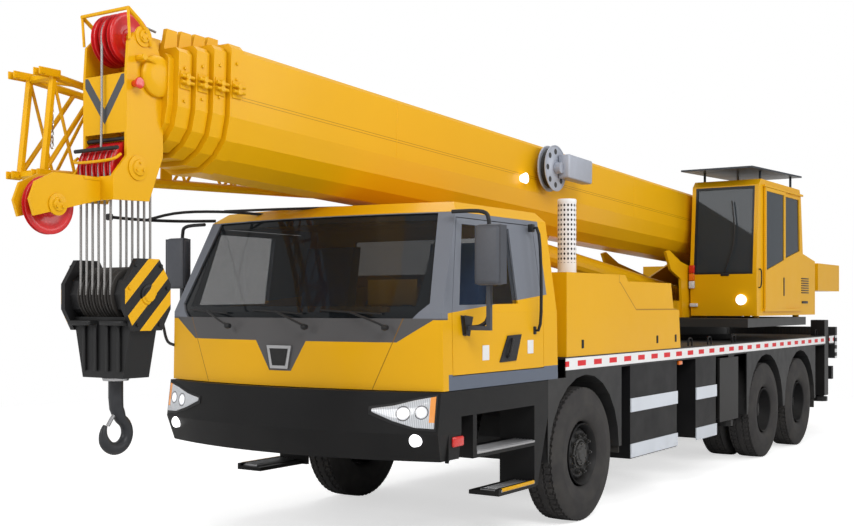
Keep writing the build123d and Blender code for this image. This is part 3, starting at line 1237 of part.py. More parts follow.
with BuildPart() as jib:
    for chord_y in (JIB_Y - JIB_HALF_WIDTH, JIB_Y + JIB_HALF_WIDTH):
        for front, rear in (JIB_TOP, JIB_LOW):
            strut(boom_point(front, chord_y), boom_point(rear, JIB_Y), CHORD_RADIUS)
        strut(boom_point(JIB_TOP[0], chord_y), boom_point(JIB_LOW[0], chord_y), CHORD_RADIUS)
    for front, rear in (JIB_TOP, JIB_LOW):
        strut(boom_point(front, JIB_Y - JIB_HALF_WIDTH), boom_point(front, JIB_Y + JIB_HALF_WIDTH), CHORD_RADIUS)
    strut(boom_point(JIB_TOP[1], JIB_Y), boom_point(JIB_LOW[1], JIB_Y), CHORD_RADIUS)
    low_front, low_rear = JIB_LOW
    for share in (0.3, 0.85):
        along = low_front[0] + (low_rear[0] - low_front[0]) * share
        up = low_front[1] + (low_rear[1] - low_front[1]) * share
        reach = JIB_Y + JIB_HALF_WIDTH * (1 - share)
        hanger = [(along - 50, up - 20), (along + 50, up - 20), (along + 50, 60), (along - 50, 60)]
        boom_plate(hanger, (reach, reach + 12))
        arm = [(along - 50, 0), (along + 50, 0), (along + 50, 60), (along - 50, 60)]
        boom_plate(arm, (reach, -BOOM_HALF_WIDTH))
finish(jib, "jib")
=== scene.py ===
"""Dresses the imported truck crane: paint, rubber, glass and the small pieces its solids leave out."""
import math

import bmesh
import bpy
import numpy as np
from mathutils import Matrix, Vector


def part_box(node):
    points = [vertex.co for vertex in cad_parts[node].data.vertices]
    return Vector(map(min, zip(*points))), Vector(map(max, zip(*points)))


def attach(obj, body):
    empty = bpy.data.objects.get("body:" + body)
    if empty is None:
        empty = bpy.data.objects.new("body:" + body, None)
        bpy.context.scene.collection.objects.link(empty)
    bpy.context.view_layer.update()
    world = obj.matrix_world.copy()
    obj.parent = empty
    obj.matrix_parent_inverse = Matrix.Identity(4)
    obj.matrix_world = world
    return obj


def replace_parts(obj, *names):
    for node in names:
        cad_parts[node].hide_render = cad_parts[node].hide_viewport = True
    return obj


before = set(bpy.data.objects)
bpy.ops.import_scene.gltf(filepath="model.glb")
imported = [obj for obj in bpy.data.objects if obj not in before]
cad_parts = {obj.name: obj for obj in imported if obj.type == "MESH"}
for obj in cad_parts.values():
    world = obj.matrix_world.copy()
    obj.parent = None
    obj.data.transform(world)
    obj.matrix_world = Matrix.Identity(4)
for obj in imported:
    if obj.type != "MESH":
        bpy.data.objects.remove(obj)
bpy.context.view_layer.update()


# ---- Studio ----------------------------------------------------------------------------------
# A pale floor and a white surround, with soft lamps above. The camera stands ahead of the left
# front corner at eye height, level, with the lens raised a little instead of tilted.
class Shade:
    """One socket of a material's tree. Arithmetic on it adds Math nodes to that tree."""

    def __init__(self, tree, socket=None):
        self.tree, self.socket = tree, socket

    def node(self, kind, settings=None, values=None, output=0):
        """Adds a node of a type, sets its settings, then gives its sockets values or links."""
        made = self.tree.nodes.new("ShaderNode" + kind)
        for name, setting in (settings or {}).items():
            setattr(made, name, setting)
        for name, value in (values or {}).items():
            if isinstance(value, Shade):
                self.tree.links.new(value.socket, made.inputs[name])
            else:
                made.inputs[name].default_value = value
        return Shade(self.tree, made.outputs[output])

    def maths(self, operation, *terms, clamp=False):
        """A Math node on its terms."""
        return self.node("Math", {"operation": operation, "use_clamp": clamp}, dict(enumerate(terms)))

    def __add__(self, other):
        return self.maths("ADD", self, other)

    def __mul__(self, other):
        return self.maths("MULTIPLY", self, other)

    def __sub__(self, other):
        return self.maths("SUBTRACT", self, other)

    def __rsub__(self, other):
        return self.maths("SUBTRACT", other, self)

    def __abs__(self):
        return self.maths("ABSOLUTE", self)

    def __gt__(self, other):
        return self.maths("GREATER_THAN", self, other)

    def __lt__(self, other):
        return self.maths("LESS_THAN", self, other)

    __radd__ = __add__
    __rmul__ = __mul__

    def rise(self, low, high):
        """Nought below low, one above high and straight between them."""
        return self.maths("DIVIDE", self - low, high - low, clamp=True)

    def sine(self):
        """Its sine."""
        return self.maths("SINE", self)

    def either(self, other):
        """The larger of two masks."""
        return self.maths("MAXIMUM", self, other)

    def stripe(self, pitch, share=0.5):
        """One over the given share of every pitch along this value, nought over the rest."""
        return self.maths("FLOORED_MODULO", self, pitch) < pitch * share


class Finish:
    """A material being written: the coordinates it reads and the Principled shader it feeds."""

    def __init__(self, name, **constants):
        self.material = bpy.data.materials.new(name)
        self.material.use_nodes = True
        self.tree = self.material.node_tree
        self.shader = next(node for node in self.tree.nodes if node.type == "BSDF_PRINCIPLED")
        self.place = Shade(self.tree).node("TexCoord", output="Object")
        split = self.place.node("SeparateXYZ", values={"Vector": self.place})
        self.x, self.y, self.z = (Shade(self.tree, socket) for socket in split.socket.node.outputs)
        self.feed(**constants)

    def feed(self, **sockets):
        """Gives the shader's sockets constants or links; underscores stand for spaces."""
        for name, value in sockets.items():
            socket = self.shader.inputs[name.replace("_", " ")]
            if isinstance(value, Shade):
                self.tree.links.new(value.socket, socket)
            else:
                socket.default_value = (*value, 1.0) if isinstance(value, tuple) else value

    def noise(self, scale, detail=2.0, stretch=None):
        """Cloudy noise from 0 to 1; stretch scales it along the three axes."""
        place = self.place
        if stretch:
            place = place.node("Mapping", values={"Vector": place, "Scale": stretch})
        values = {"Vector": place, "Scale": scale, "Detail": detail}
        return self.place.node("TexNoise", values=values, output="Fac")

    def mix(self, first, second, mask):
        """A colour or number mixed by a mask; each side may be a tuple or a link."""
        made = self.tree.nodes.new("ShaderNodeMix")
        made.data_type = "RGBA"
        for socket, value in ((made.inputs[0], mask), (made.inputs[6], first), (made.inputs[7], second)):
            if isinstance(value, Shade):
                self.tree.links.new(value.socket, socket)
            else:
                socket.default_value = (*value, 1.0) if isinstance(value, tuple) else value
        return Shade(self.tree, made.outputs[2])

    def relief(self, height, distance, strength=1.0):
        """Bumps the surface by a height from 0 to 1 over a distance in metres."""
        values = {"Height": height, "Distance": distance, "Strength": strength}
        self.feed(Normal=self.place.node("Bump", values=values))

    def grain(self, scale, distance, strength, detail=2.0):
        """Bumps the surface by cloudy noise."""
        self.relief(self.noise(scale, detail), distance, strength)

    def uneven(self, scale, detail, swing, least):
        """Roughness that drifts with cloudy noise from the least value over a swing."""
        self.feed(Roughness=self.noise(scale, detail) * swing + least)


def dress(finish, *nodes):
    """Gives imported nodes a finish."""
    for node in nodes:
        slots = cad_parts[node].data.materials
        slots.clear()
        slots.append(finish.material)


bpy.context.scene.view_settings.view_transform = "Standard"

FLOOR_HALF = 60.0
FLOOR_GLOW = 0.62
FLOOR_FADE = (7.5, 12.0)  # where the floor starts and ends turning into the surround
SURROUND = 1.0
AMBIENT = 0.30
MIRRORED = 0.22  # how much of the surround shows in reflections
world = bpy.data.worlds.new("surround")
bpy.context.scene.world = world
world.use_nodes = True
sky = Shade(world.node_tree)
background = next(node for node in world.node_tree.nodes if node.type == "BACKGROUND")
seen = sky.node("LightPath", output="Is Camera Ray").either(sky.node("LightPath", output="Is Transmission Ray"))
seen = seen.either(sky.node("LightPath", output="Is Glossy Ray") * MIRRORED)
world.node_tree.links.new((seen * (SURROUND - AMBIENT) + AMBIENT).socket, background.inputs[1])
background.inputs[0].default_value = (1.0, 1.0, 1.0, 1.0)

floor_mesh = bpy.data.meshes.new("floor")
corners = [(-FLOOR_HALF, -FLOOR_HALF), (FLOOR_HALF, -FLOOR_HALF), (FLOOR_HALF, FLOOR_HALF), (-FLOOR_HALF, FLOOR_HALF)]
floor_mesh.from_pydata([(x, y, 0.0) for x, y in corners], [], [(0, 1, 2, 3)])
floor = bpy.data.objects.new("floor", floor_mesh)
bpy.context.collection.objects.link(floor)
pale = Finish("pale_floor", Base_Color=(0.80, 0.80, 0.80), Roughness=0.8, Specular_IOR_Level=0.1)
camera_ray = pale.place.node("LightPath", output="Is Camera Ray")
pale.feed(Emission_Color=(1.0, 1.0, 1.0), Emission_Strength=camera_ray * FLOOR_GLOW)
reach = pale.place.node("VectorMath", {"operation": "LENGTH"}, {0: pale.place}, output="Value")
bare = pale.tree.nodes.new("ShaderNodeEmission")
blend = pale.tree.nodes.new("ShaderNodeMixShader")
ending = next(node for node in pale.tree.nodes if node.type == "OUTPUT_MATERIAL")
pale.tree.links.new(reach.rise(*FLOOR_FADE).socket, blend.inputs[0])
pale.tree.links.new(pale.shader.outputs[0], blend.inputs[1])
pale.tree.links.new(bare.outputs[0], blend.inputs[2])
pale.tree.links.new(blend.outputs[0], ending.inputs[0])
floor_mesh.materials.append(pale.material)

LAMPS = [  # name, place, aimed at, width, height, watts
    ("key", (9.0, 9.5, 9.0), (0.0, 0.0, 1.5), 7.0, 5.0, 900.0),
    ("front", (14.0, -3.0, 6.0), (1.0, 0.0, 1.5), 6.0, 4.0, 460.0),
    ("side", (-4.0, 12.0, 6.5), (-2.0, 0.0, 1.5), 9.0, 4.0, 430.0),
    ("top", (-1.0, 0.0, 12.0), (-1.0, 0.0, 0.0), 12.0, 5.0, 520.0),
]
for name, place, target, width, height, watts in LAMPS:
    lamp = bpy.data.lights.new(name, "AREA")
    lamp.shape, lamp.size, lamp.size_y, lamp.energy = "RECTANGLE", width, height, watts
    stand = bpy.data.objects.new(name, lamp)
    bpy.context.collection.objects.link(stand)
    aim = np.array(target) - np.array(place)
    stand.location = place
    tilt = math.atan2(math.hypot(aim[0], aim[1]), -aim[2])
    stand.rotation_euler = (tilt, 0.0, math.atan2(aim[1], aim[0]) - math.pi / 2)

CAMERA_PLACE = (10.275, 5.354, 1.75)
LENS_MM = 48.5
LENS_RISE = 0.0492
HEADING = math.atan2(-0.555, -0.832)
camera = bpy.data.cameras.new("camera")
camera.lens, camera.sensor_width, camera.shift_y = LENS_MM, 36.0, LENS_RISE
viewer = bpy.data.objects.new("camera", camera)
bpy.context.collection.objects.link(viewer)
viewer.location = CAMERA_PLACE
viewer.rotation_euler = (math.pi / 2, 0.0, HEADING - math.pi / 2)
bpy.context.scene.camera = viewer


# ---- Chassis, axles and the black work under the deck ------------------------------------------
# The frame, axles, knuckles and boxes are welded steel in a satin black coat that has dulled and
# holds road dust on what faces up and near the ground. The boxes' guard rails are white.
def dusty(finish, colour, dust=(0.16, 0.15, 0.13), amount=0.12):
    """A colour under patchy dust that thickens towards the ground and on faces that look up."""
    up = Shade(finish.tree).node("NewGeometry", output="Normal")
    up = Shade(finish.tree, up.node("SeparateXYZ", values={"Vector": up}).socket.node.outputs[2]).rise(0.2, 1.0)
    low = 1.0 - finish.z.rise(0.1, 1.5)
    patch = finish.noise(2.2, 5.0).rise(0.35, 0.75)
    return finish.mix(colour, dust, (low * 0.55 + up * 0.5) * patch * amount)


BLACK = (0.009, 0.009, 0.010)
WHITE = (0.66, 0.70, 0.76)
black_coat = Finish("satin_black_coat", Specular_IOR_Level=0.18)
worn = black_coat.noise(3.0, 4.0)
black_coat.feed(Base_Color=dusty(black_coat, BLACK), Roughness=worn * 0.25 + 0.38)
black_coat.grain(180.0, 0.0006, 0.35)
dress(black_coat, "chassis_frame", "axles", "knuckle_left", "knuckle_right", "engine")

box_coat = Finish("box_coat", Specular_IOR_Level=0.18)
outer_face = abs(box_coat.y) > 1.2385
box_black = dusty(box_coat, BLACK)
box_coat.feed(Base_Color=box_coat.mix(box_black, dusty(box_coat, WHITE, amount=0.5), outer_face))
box_coat.uneven(6.0, 4.0, 0.2, 0.36)
box_coat.grain(160.0, 0.0006, 0.3)
dress(box_coat, "side_boxes")


# ---- Wheels ----------------------------------------------------------------------------------
# Radial truck tyres with ribbed, blocked tread and a moulded ring on the wall, on dark steel disc
# wheels. Each disc is held by ten studs with nuts round a stepped hub.
def skin(rings, closed=True, capped=True):
    """Quads joining rings of points, given as an array (rings, points, 3), with flat end caps."""
    rings = np.asarray(rings, dtype=float)
    count, size = rings.shape[:2]
    index = np.arange(count * size).reshape(count, size)
    after = np.roll(index, -1, axis=1) if closed else index[:, 1:]
    here = index if closed else index[:, :-1]
    quads = np.stack([here[:-1], after[:-1], after[1:], here[1:]], axis=-1).reshape(-1, 4).tolist()
    if capped:
        quads += [index[0, ::-1].tolist(), index[-1].tolist()]
    return rings.reshape(-1, 3), quads


def lathe(profile, centre, sides, capped=True, axis=1):
    """A surface of revolution about an axis, Y unless given, from (place along it, radius) pairs."""
    along, radius = np.array(profile, dtype=float).T[:, :, None]
    angle = np.arange(sides) * 2 * math.pi / sides
    first, second = (axis + 1) % 3, (axis + 2) % 3
    rings = np.empty((len(along), sides, 3))
    rings[..., axis] = centre[axis] + along
    rings[..., first] = centre[first] + radius * np.cos(angle)
    rings[..., second] = centre[second] + radius * np.sin(angle)
    return skin(rings, capped=capped)


def circled(centre, radius, share):
    """A point on a circle about the Y axis, a share of a turn from its top towards the front."""
    turn = share * 2 * math.pi
    return (centre[0] + radius * math.sin(turn), centre[1], centre[2] + radius * math.cos(turn))


def piece(name, parts, finish, body="carrier", smooth=40, outward=True):
    """Joins parts, each (points, faces), into one object with a finish, riding on a body."""
    points, faces, start = [], [], 0
    for part_points, part_faces in parts:
        points.append(part_points)
        faces += [[corner + start for corner in face] for face in part_faces]
        start += len(part_points)
    mesh = bpy.data.meshes.new(name)
    mesh.from_pydata(np.concatenate(points).tolist(), [], faces)
    if outward:
        work = bmesh.new()
        work.from_mesh(mesh)
        bmesh.ops.recalc_face_normals(work, faces=work.faces)
        work.to_mesh(mesh)
        work.free()
    mesh.materials.append(finish.material)
    mesh.shade_smooth()
    mesh.set_sharp_from_angle(angle=math.radians(smooth))
    made = bpy.data.objects.new(name, mesh)
    bpy.context.collection.objects.link(made)
    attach(made, body)
    return made


SIDES = ((1, "left"), (-1, "right"))
TYRE_RADIUS = 0.5425
TYRE_WIDTH = 0.30
CROWN_DROP = 0.198
RIBS = (-0.098, -0.040, 0.040, 0.098)
RIB_GAP = 0.011
GROOVE = 0.014
TREAD_BLOCKS = 60
TREAD_STEPS = 240


def tyre_skin(middle, radius=TYRE_RADIUS, width=TYRE_WIDTH):
    """Tyre surface by angle and a path across it; the tread sinks in wavy rings and side notches."""
    half = width / 2
    wall = [(half - 0.052, 0.262), (half - 0.030, 0.275), (half - 0.012, 0.31), (half - 0.002, 0.355)]
    wall += [(half - 0.001, 0.392), (half, 0.400), (half - 0.002, 0.408), (half - 0.004, 0.455)]
    wall += [(half - 0.012, 0.492), (half - 0.020, 0.515), (half - 0.031, radius - 0.010)]
    across = np.linspace(half - 0.036, -(half - 0.036), 34)
    near = np.array(wall)
    far = near[::-1] * (-1, 1)
    crown = np.stack([across, radius - CROWN_DROP * across**2], axis=-1)
    profile = np.concatenate([near, crown, far])
    tread = np.zeros(len(profile))
    tread[len(near):len(near) + len(crown)] = 1.0
    angle = (np.arange(TREAD_STEPS) * 2 * math.pi / TREAD_STEPS)[None, :]
    y = np.repeat(profile[:, 0:1], TREAD_STEPS, axis=1)
    wave = 0.005 * np.sign(np.sin(angle * TREAD_BLOCKS))
    sunk = np.zeros_like(y)
    for rib in RIBS:
        sunk = np.maximum(sunk, (np.abs(y - rib - wave) < RIB_GAP / 2) * 1.0)
    notch = (np.cos(angle * TREAD_BLOCKS) > 0.72) & (np.abs(y) > 0.052)
    sunk = np.maximum(sunk, notch * 0.8) * tread[:, None]
    r = profile[:, 1:2] - GROOVE * sunk
    points = np.stack([middle[0] + r * np.sin(angle), middle[1] + y, middle[2] + r * np.cos(angle)], axis=-1)
    return skin(np.concatenate([points, points[:1]]), capped=False)


rubber = Finish("tyre_rubber", Specular_IOR_Level=0.15)
grime = rubber.noise(7.0, 5.0)
rubber.feed(Base_Color=rubber.mix((0.042, 0.040, 0.040), (0.085, 0.080, 0.072), grime.rise(0.4, 0.8) * 0.5))
rubber.feed(Roughness=grime * 0.2 + 0.66)
rubber.grain(300.0, 0.0008, 0.5, 3.0)

wheel_paint = Finish("dark_wheel_paint", Specular_IOR_Level=0.2)
wheel_paint.feed(Base_Color=dusty(wheel_paint, (0.012, 0.012, 0.013), amount=0.15), Roughness=0.45)
wheel_paint.grain(120.0, 0.0005, 0.4)

nut_steel = Finish("wheel_nuts", Metallic=0.5, Roughness=0.45)
rusted = nut_steel.noise(60.0).rise(0.4, 0.7)
nut_steel.feed(Base_Color=nut_steel.mix((0.055, 0.055, 0.055), (0.03, 0.027, 0.022), rusted))

STUDS = 10
STUD_CIRCLE = 0.152
NUT_RADIUS = 0.018
DISC = 0.012
WHEELS = [  # body, tyre node, rim node, how far out the disc's face and the hub's end are
    ("wheel_front", "tyre_front", "rim_front", 0.088, 0.125),
    ("wheels_middle", "tyres_middle", "rims_middle", -0.095, 0.05),
    ("wheels_rear", "tyres_rear", "rims_rear", -0.095, 0.05),
]


def disc_wheel(centre, side, face):
    """A rim barrel with rolled lips and a dished disc, lathed as one closed ring about the axle."""
    lip, barrel = 0.128, 0.246
    ring = [(-lip, barrel), (-lip + 0.006, 0.250), (-lip + 0.03, 0.242), (0.0, 0.236), (lip - 0.03, 0.242)]
    ring += [(lip - 0.006, 0.250), (lip, barrel), (lip - 0.008, 0.238), (face * 0.35, 0.225)]
    ring += [(face * 0.8, 0.205), (face, 0.186), (face, 0.118), (face - DISC, 0.118), (face - DISC, 0.183)]
    ring += [(face * 0.8 - DISC, 0.196), (face * 0.35 - DISC, 0.214), (-lip + 0.01, 0.232), (-lip, barrel)]
    return lathe([(side * y, radius) for y, radius in ring], centre, 72, capped=False)


def wheel_fittings(centre, side, face, hub_out):
    """Ten hexagon nuts on their studs, and a stepped hub with its cap and flange."""
    parts = []
    for index in range(STUDS):
        at = circled(centre, STUD_CIRCLE, (index + 0.5) / STUDS)
        nut = [(side * face, NUT_RADIUS + 0.005), (side * (face + 0.006), NUT_RADIUS + 0.005)]
        nut += [(side * (face + 0.006), NUT_RADIUS), (side * (face + 0.028), NUT_RADIUS - 0.001)]
        parts.append(lathe(nut, at, 6))
        parts.append(lathe([(side * (face + 0.02), 0.010), (side * (face + 0.042), 0.009)], at, 8))
    hub = [(side * (face - 0.02), 0.122), (side * (face + 0.012), 0.120), (side * (face + 0.018), 0.108)]
    hub += [(side * (hub_out - 0.030), 0.098), (side * (hub_out - 0.012), 0.094), (side * (hub_out - 0.010), 0.062)]
    hub += [(side * (hub_out - 0.002), 0.058), (side * hub_out, 0.040)]
    parts.append(lathe(hub, centre, 48))
    for index in range(6):
        bolt = [(side * (hub_out - 0.014), 0.008), (side * (hub_out - 0.004), 0.007)]
        parts.append(lathe(bolt, circled(centre, 0.078, index / 6), 6))
    return parts


for body, tyre_node, rim_node, face, hub_out in WHEELS:
    twin = body != "wheel_front"
    for side, hand in SIDES:
        low, high = (np.array(corner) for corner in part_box(f"{tyre_node}_{hand}"))
        centre = (low + high) / 2
        inset = TYRE_WIDTH / 2
        middles = [high[1] - inset, low[1] + inset] if twin else [centre[1]]
        tyres = [tyre_skin((centre[0], middle, centre[2])) for middle in middles]
        rubber_piece = piece(f"tread_{tyre_node}_{hand}", tyres, rubber, f"{body}_{hand}", 35, False)
        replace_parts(rubber_piece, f"{tyre_node}_{hand}")
        middle = (centre[0], max(middles, key=abs), centre[2])
        discs = [disc_wheel(middle, side, face)]
        if twin:
            discs.append(disc_wheel((centre[0], min(middles, key=abs), centre[2]), -side, face))
        wheel = piece(f"disc_{rim_node}_{hand}", discs, wheel_paint, f"{body}_{hand}")
        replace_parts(wheel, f"{rim_node}_{hand}")
        fittings = wheel_fittings(middle, side, face, hub_out)
        piece(f"nuts_{rim_node}_{hand}", fittings, nut_steel, f"{body}_{hand}", 30)


# ---- Deck and its striped edge ------------------------------------------------------------------
# Chequer plate walkways over the frame, with lashing rings. Their bent edge carries white tape with
# red bars over small amber lamps; each corner of the tail has a chequered post and a lamp.
def rounded_path(points, rounds=2):
    """Rounds a path's corners by cutting each one at a quarter and three quarters, repeatedly."""
    path = np.array(points, dtype=float)
    for _ in range(rounds):
        first, last = path[:-1], path[1:]
        cut = np.stack([first * 0.75 + last * 0.25, first * 0.25 + last * 0.75], axis=1).reshape(-1, 3)
        path = np.concatenate([path[:1], cut[1:-1], path[-1:]])
    return path


def bar(points, radius, sides=8, rounds=2):
    """A round bar along a path: circles square to the path's direction at each of its points."""
    path = rounded_path(points, rounds)
    along = np.gradient(path, axis=0)
    along /= np.linalg.norm(along, axis=1, keepdims=True)
    steady = np.array([0.0, 0.0, 1.0]) if abs(along[:, 2]).max() < 0.95 else np.array([0.31, 0.95, 0.05])
    first = np.cross(along, steady)
    first /= np.linalg.norm(first, axis=1, keepdims=True)
    second = np.cross(along, first)
    angle = (np.arange(sides) * 2 * math.pi / sides)[None, :, None]
    size = np.broadcast_to(np.asarray(radius, dtype=float), len(path))[:, None, None]
    return skin(path[:, None] + size * (np.cos(angle) * first[:, None] + np.sin(angle) * second[:, None]))


def slab(low, high, edge=0.006):
    """A box with rounded edges: rounded rectangles whose inset follows a quarter circle at each end."""
    low, high = np.minimum(low, high), np.maximum(low, high)
    middle, half = (low + high) / 2, (high - low) / 2
    edge = min(edge, half.min() * 0.98)
    quarter = np.linspace(0, math.pi / 2, 4)
    signs = np.array([(1, 1), (-1, 1), (-1, -1), (1, -1)])
    starts = np.array([0, math.pi / 2, math.pi, 3 * math.pi / 2])
    turn = (starts[:, None] + quarter[None, :]).reshape(-1)
    sign = np.repeat(signs, len(quarter), axis=0)
    shrink = edge * (1 - np.sin(quarter))
    rise = edge * (1 - np.cos(quarter))
    levels = np.concatenate([low[2] + rise, (high[2] - rise)[::-1]])
    insets = np.concatenate([shrink, shrink[::-1]])
    reach = edge - insets[:, None] + 1e-5
    x = middle[0] + sign[:, 0] * (half[0] - edge) + reach * np.cos(turn)
    y = middle[1] + sign[:, 1] * (half[1] - edge) + reach * np.sin(turn)
    z = np.repeat(levels[:, None], len(turn), axis=1)
    return skin(np.stack([x, y, z], axis=-1))


def panel(outline, low, high, edge=0.003, side_view=True):
    """An outline of (x, z), or of (y, z) corners, given thickness, its two faces inset by an edge."""
    ring = np.array(outline, dtype=float)
    before, after = np.roll(ring, 1, axis=0), np.roll(ring, -1, axis=0)
    into = (ring - before) / np.linalg.norm(ring - before, axis=1, keepdims=True)
    away = (after - ring) / np.linalg.norm(after - ring, axis=1, keepdims=True)
    turn = np.sign((np.roll(ring[:, 0], -1) * ring[:, 1] - ring[:, 0] * np.roll(ring[:, 1], -1)).sum())
    normal = (into + away)[:, ::-1] * (-turn, turn)
    normal /= np.maximum((normal**2).sum(axis=1, keepdims=True), 0.8) / 2
    inset = ring + normal * edge
    low, high = min(low, high), max(low, high)
    rings = []
    for level, shape in ((low, inset), (low + edge, ring), (high - edge, ring), (high, inset)):
        depth = np.full(len(ring), level)
        columns = (shape[:, 0], depth, shape[:, 1]) if side_view else (depth, shape[:, 0], shape[:, 1])
        rings.append(np.stack(columns, axis=-1))
    return skin(np.stack(rings))


deck_plate = Finish("deck_chequer", Specular_IOR_Level=0.35)
weave = (deck_plate.x + deck_plate.y) * 38.0
weft = (deck_plate.x - deck_plate.y) * 38.0
lozenge = (weave * 2.0).sine() * (weft * 2.0).sine()
on_top = deck_plate.z.rise(1.335, 1.338)
off_side = abs(deck_plate.y)
tape = (deck_plate.z > 1.236) * (deck_plate.z < 1.330) * (off_side > 1.2435) * (deck_plate.x > -5.93)
middle_of_tape = (deck_plate.z > 1.262) * (deck_plate.z < 1.306)
red_share = deck_plate.x.stripe(0.30) * middle_of_tape
tape_colour = deck_plate.mix((0.80, 0.80, 0.80), (0.66, 0.012, 0.02), red_share)
deck_colour = dusty(deck_plate, (0.018, 0.018, 0.019), amount=0.4)
squares = deck_plate.z.stripe(0.10) * (deck_plate.x < -5.98) * (off_side > 1.2435) * (deck_plate.z < 1.335)
deck_colour = deck_plate.mix(deck_colour, (0.70, 0.71, 0.72), squares)
deck_plate.feed(Base_Color=deck_plate.mix(deck_colour, tape_colour, tape))
deck_plate.uneven(9.0, 4.0, 0.2, 0.42)
deck_plate.relief(lozenge.rise(0.35, 0.6) * on_top, 0.003, 0.8)
dress(deck_plate, "deck")

def clouded(name, first, second, scale, detail=2.0, **constants):
    """A finish whose colour drifts between two by cloudy noise."""
    finish = Finish(name, **constants)
    finish.feed(Base_Color=finish.mix(first, second, finish.noise(scale, detail)))
    return finish


amber = clouded("amber_lens", (0.85, 0.20, 0.01), (0.65, 0.11, 0.005), 160.0, Roughness=0.2, Coat_Weight=0.4)
red_lens = Finish("red_lens", Roughness=0.18, Coat_Weight=0.4)
red_lens.feed(Base_Color=red_lens.mix((0.75, 0.02, 0.01), (0.45, 0.008, 0.006), red_lens.z.stripe(0.006)))
side_lamps, tail_lamps, loops = [], [], []
for side in (1, -1):
    side_lamps += [slab((x - 0.04, side * 1.222, 1.175), (x + 0.04, side * 1.249, 1.214), 0.008)
                   for x in (1.92, -0.28, -2.32, -4.95)]
    tail_lamps.append(slab((-6.245, side * 0.93, 0.735), (-6.262, side * 1.14, 0.885), 0.007))
    for x in (-0.75, -1.30, -2.05, -5.35):
        loop = [(x + off, side * 1.16, z) for off, z in ((-0.05, 1.338), (-0.05, 1.42), (0.05, 1.42), (0.05, 1.338))]
        loops.append(bar(loop, 0.008, rounds=3))
piece("side_marker_lamps", side_lamps, amber)
piece("tail_lamps", tail_lamps, red_lens)
piece("lashing_rings", loops, black_coat, "carrier")


# ---- Yellow panels -----------------------------------------------------------------------------
# Golden two-pack paint on the cab, engine cover, superstructure and boom: a slightly rippled gloss
# under clear lacquer, a little duller and dustier low down. Covers have latches; their pressed lines
# and the boom's side creases are thin lines of painted shade.
YELLOW = (0.745, 0.388, 0.002)
YELLOW_DEEP = (0.69, 0.345, 0.002)
GREY = (0.165, 0.178, 0.208)
PIVOT = (-5.595, 2.590)  # the boom's pivot, x and z
BOOM_SLOPE = 0.0372


def painted(name, coat=0.12):
    """A finish in the yellow paint with its ripple, ready for masks over its colour."""
    finish = Finish(name, Coat_Weight=coat, Coat_Roughness=0.15, Specular_IOR_Level=0.16)
    tone = finish.mix(YELLOW, YELLOW_DEEP, finish.noise(0.9, 3.0).rise(0.3, 0.8) * 0.5)
    finish.colour = dusty(finish, YELLOW, (0.45, 0.28, 0.06), 0.10)
    finish.tree.links.new(tone.socket, finish.colour.socket.node.inputs[6])
    finish.feed(Base_Color=finish.colour, Roughness=finish.noise(5.0, 3.0) * 0.14 + 0.34)
    finish.relief(finish.noise(26.0, 1.0) * 0.7 + finish.noise(340.0) * 0.3, 0.0009, 0.18)
    return finish


panel_yellow = painted("yellow_panels")
dress(panel_yellow, "counterweight", "luff_barrel", "crane_cab_door")
cover_yellow = painted("cover_yellow")
# The pressed line along the engine cover's side is painted shade: the yellow darkened in a thin line where the crease
# would fall into shade. The line across its top at x 1.14 is its real seam.
slope = cover_yellow.x.rise(0.78, 1.12)
line_z = 1.945 - (1.0 - slope) * 0.235
groove = (abs(cover_yellow.z - line_z) < 0.006) * (cover_yellow.x < 1.13) * (abs(cover_yellow.y) > 1.24)
painted_crease_shade_and_seam = groove.either((abs(cover_yellow.x - 1.14) < 0.004) * (cover_yellow.z > 1.94))
cover_yellow.feed(Base_Color=cover_yellow.mix(cover_yellow.colour, (0.30, 0.13, 0.002), painted_crease_shade_and_seam * 0.8))
dress(cover_yellow, "engine_cover")

table_paint = painted("table_paint")
under = table_paint.z < 1.607
table_paint.feed(Base_Color=table_paint.mix(table_paint.colour, dusty(table_paint, (0.03, 0.03, 0.03)), under))
dress(table_paint, "turntable")

boom_yellow = painted("yellow_boom")
# The two thin lines along each side of the boom, where its side plate folds, are painted shade: the yellow darkened
# where the crease would fall into shade.
fold = (boom_yellow.z - PIVOT[1]) - (boom_yellow.x - PIVOT[0]) * BOOM_SLOPE - 0.068
fold = abs(abs(fold) - 0.009) < 0.0022
boom_side = abs(boom_yellow.y)
painted_fold_shade = fold * (boom_yellow.x > -4.9) * (boom_yellow.x < 4.90) * (boom_side < 0.3605) * (boom_side > 0.352)
boom_yellow.feed(Base_Color=boom_yellow.mix(boom_yellow.colour, (0.26, 0.12, 0.002), painted_fold_shade * 0.7))
dress(boom_yellow, "boom_base", "boom_section_2", "boom_section_3", "boom_section_4", "boom_tip", "jib")

latches = [slab((x - 0.02, side * 1.243, 1.40), (x + 0.02, side * 1.2485, 1.47), 0.004)
           for side in (1, -1) for x in (1.85, 0.30, -0.15)]
piece("cover_latches", latches, black_coat)


# ---- Driver's cab -------------------------------------------------------------------------------
# Pressed steel cab in yellow, with grey about the screen and side windows, a grey cowl that dips at
# the middle, a blue-grey sill and tinted glass. Wipers, lamps, handles, mirrors and steps are added.
SILL_TINT = (0.105, 0.125, 0.165)
COWL = (0.085, 0.083, 0.085)


def surround(finish):
    """Where the cab is grey: above the door's rising sill, and above the front's dipping cowl line."""
    off_middle = abs(finish.y)
    sill = 1.697 + (3.84 - finish.x) * 0.094
    dip = (1.0 - off_middle.rise(0.10, 0.23)) * 0.21
    corner = off_middle.rise(0.93, 1.18) * 0.15
    on_side = finish.x < 3.86
    line = on_side * sill + (1.0 - on_side) * (1.500 - dip + corner)
    return (finish.z > line) * (finish.z < 2.392) * (finish.x > 2.43)


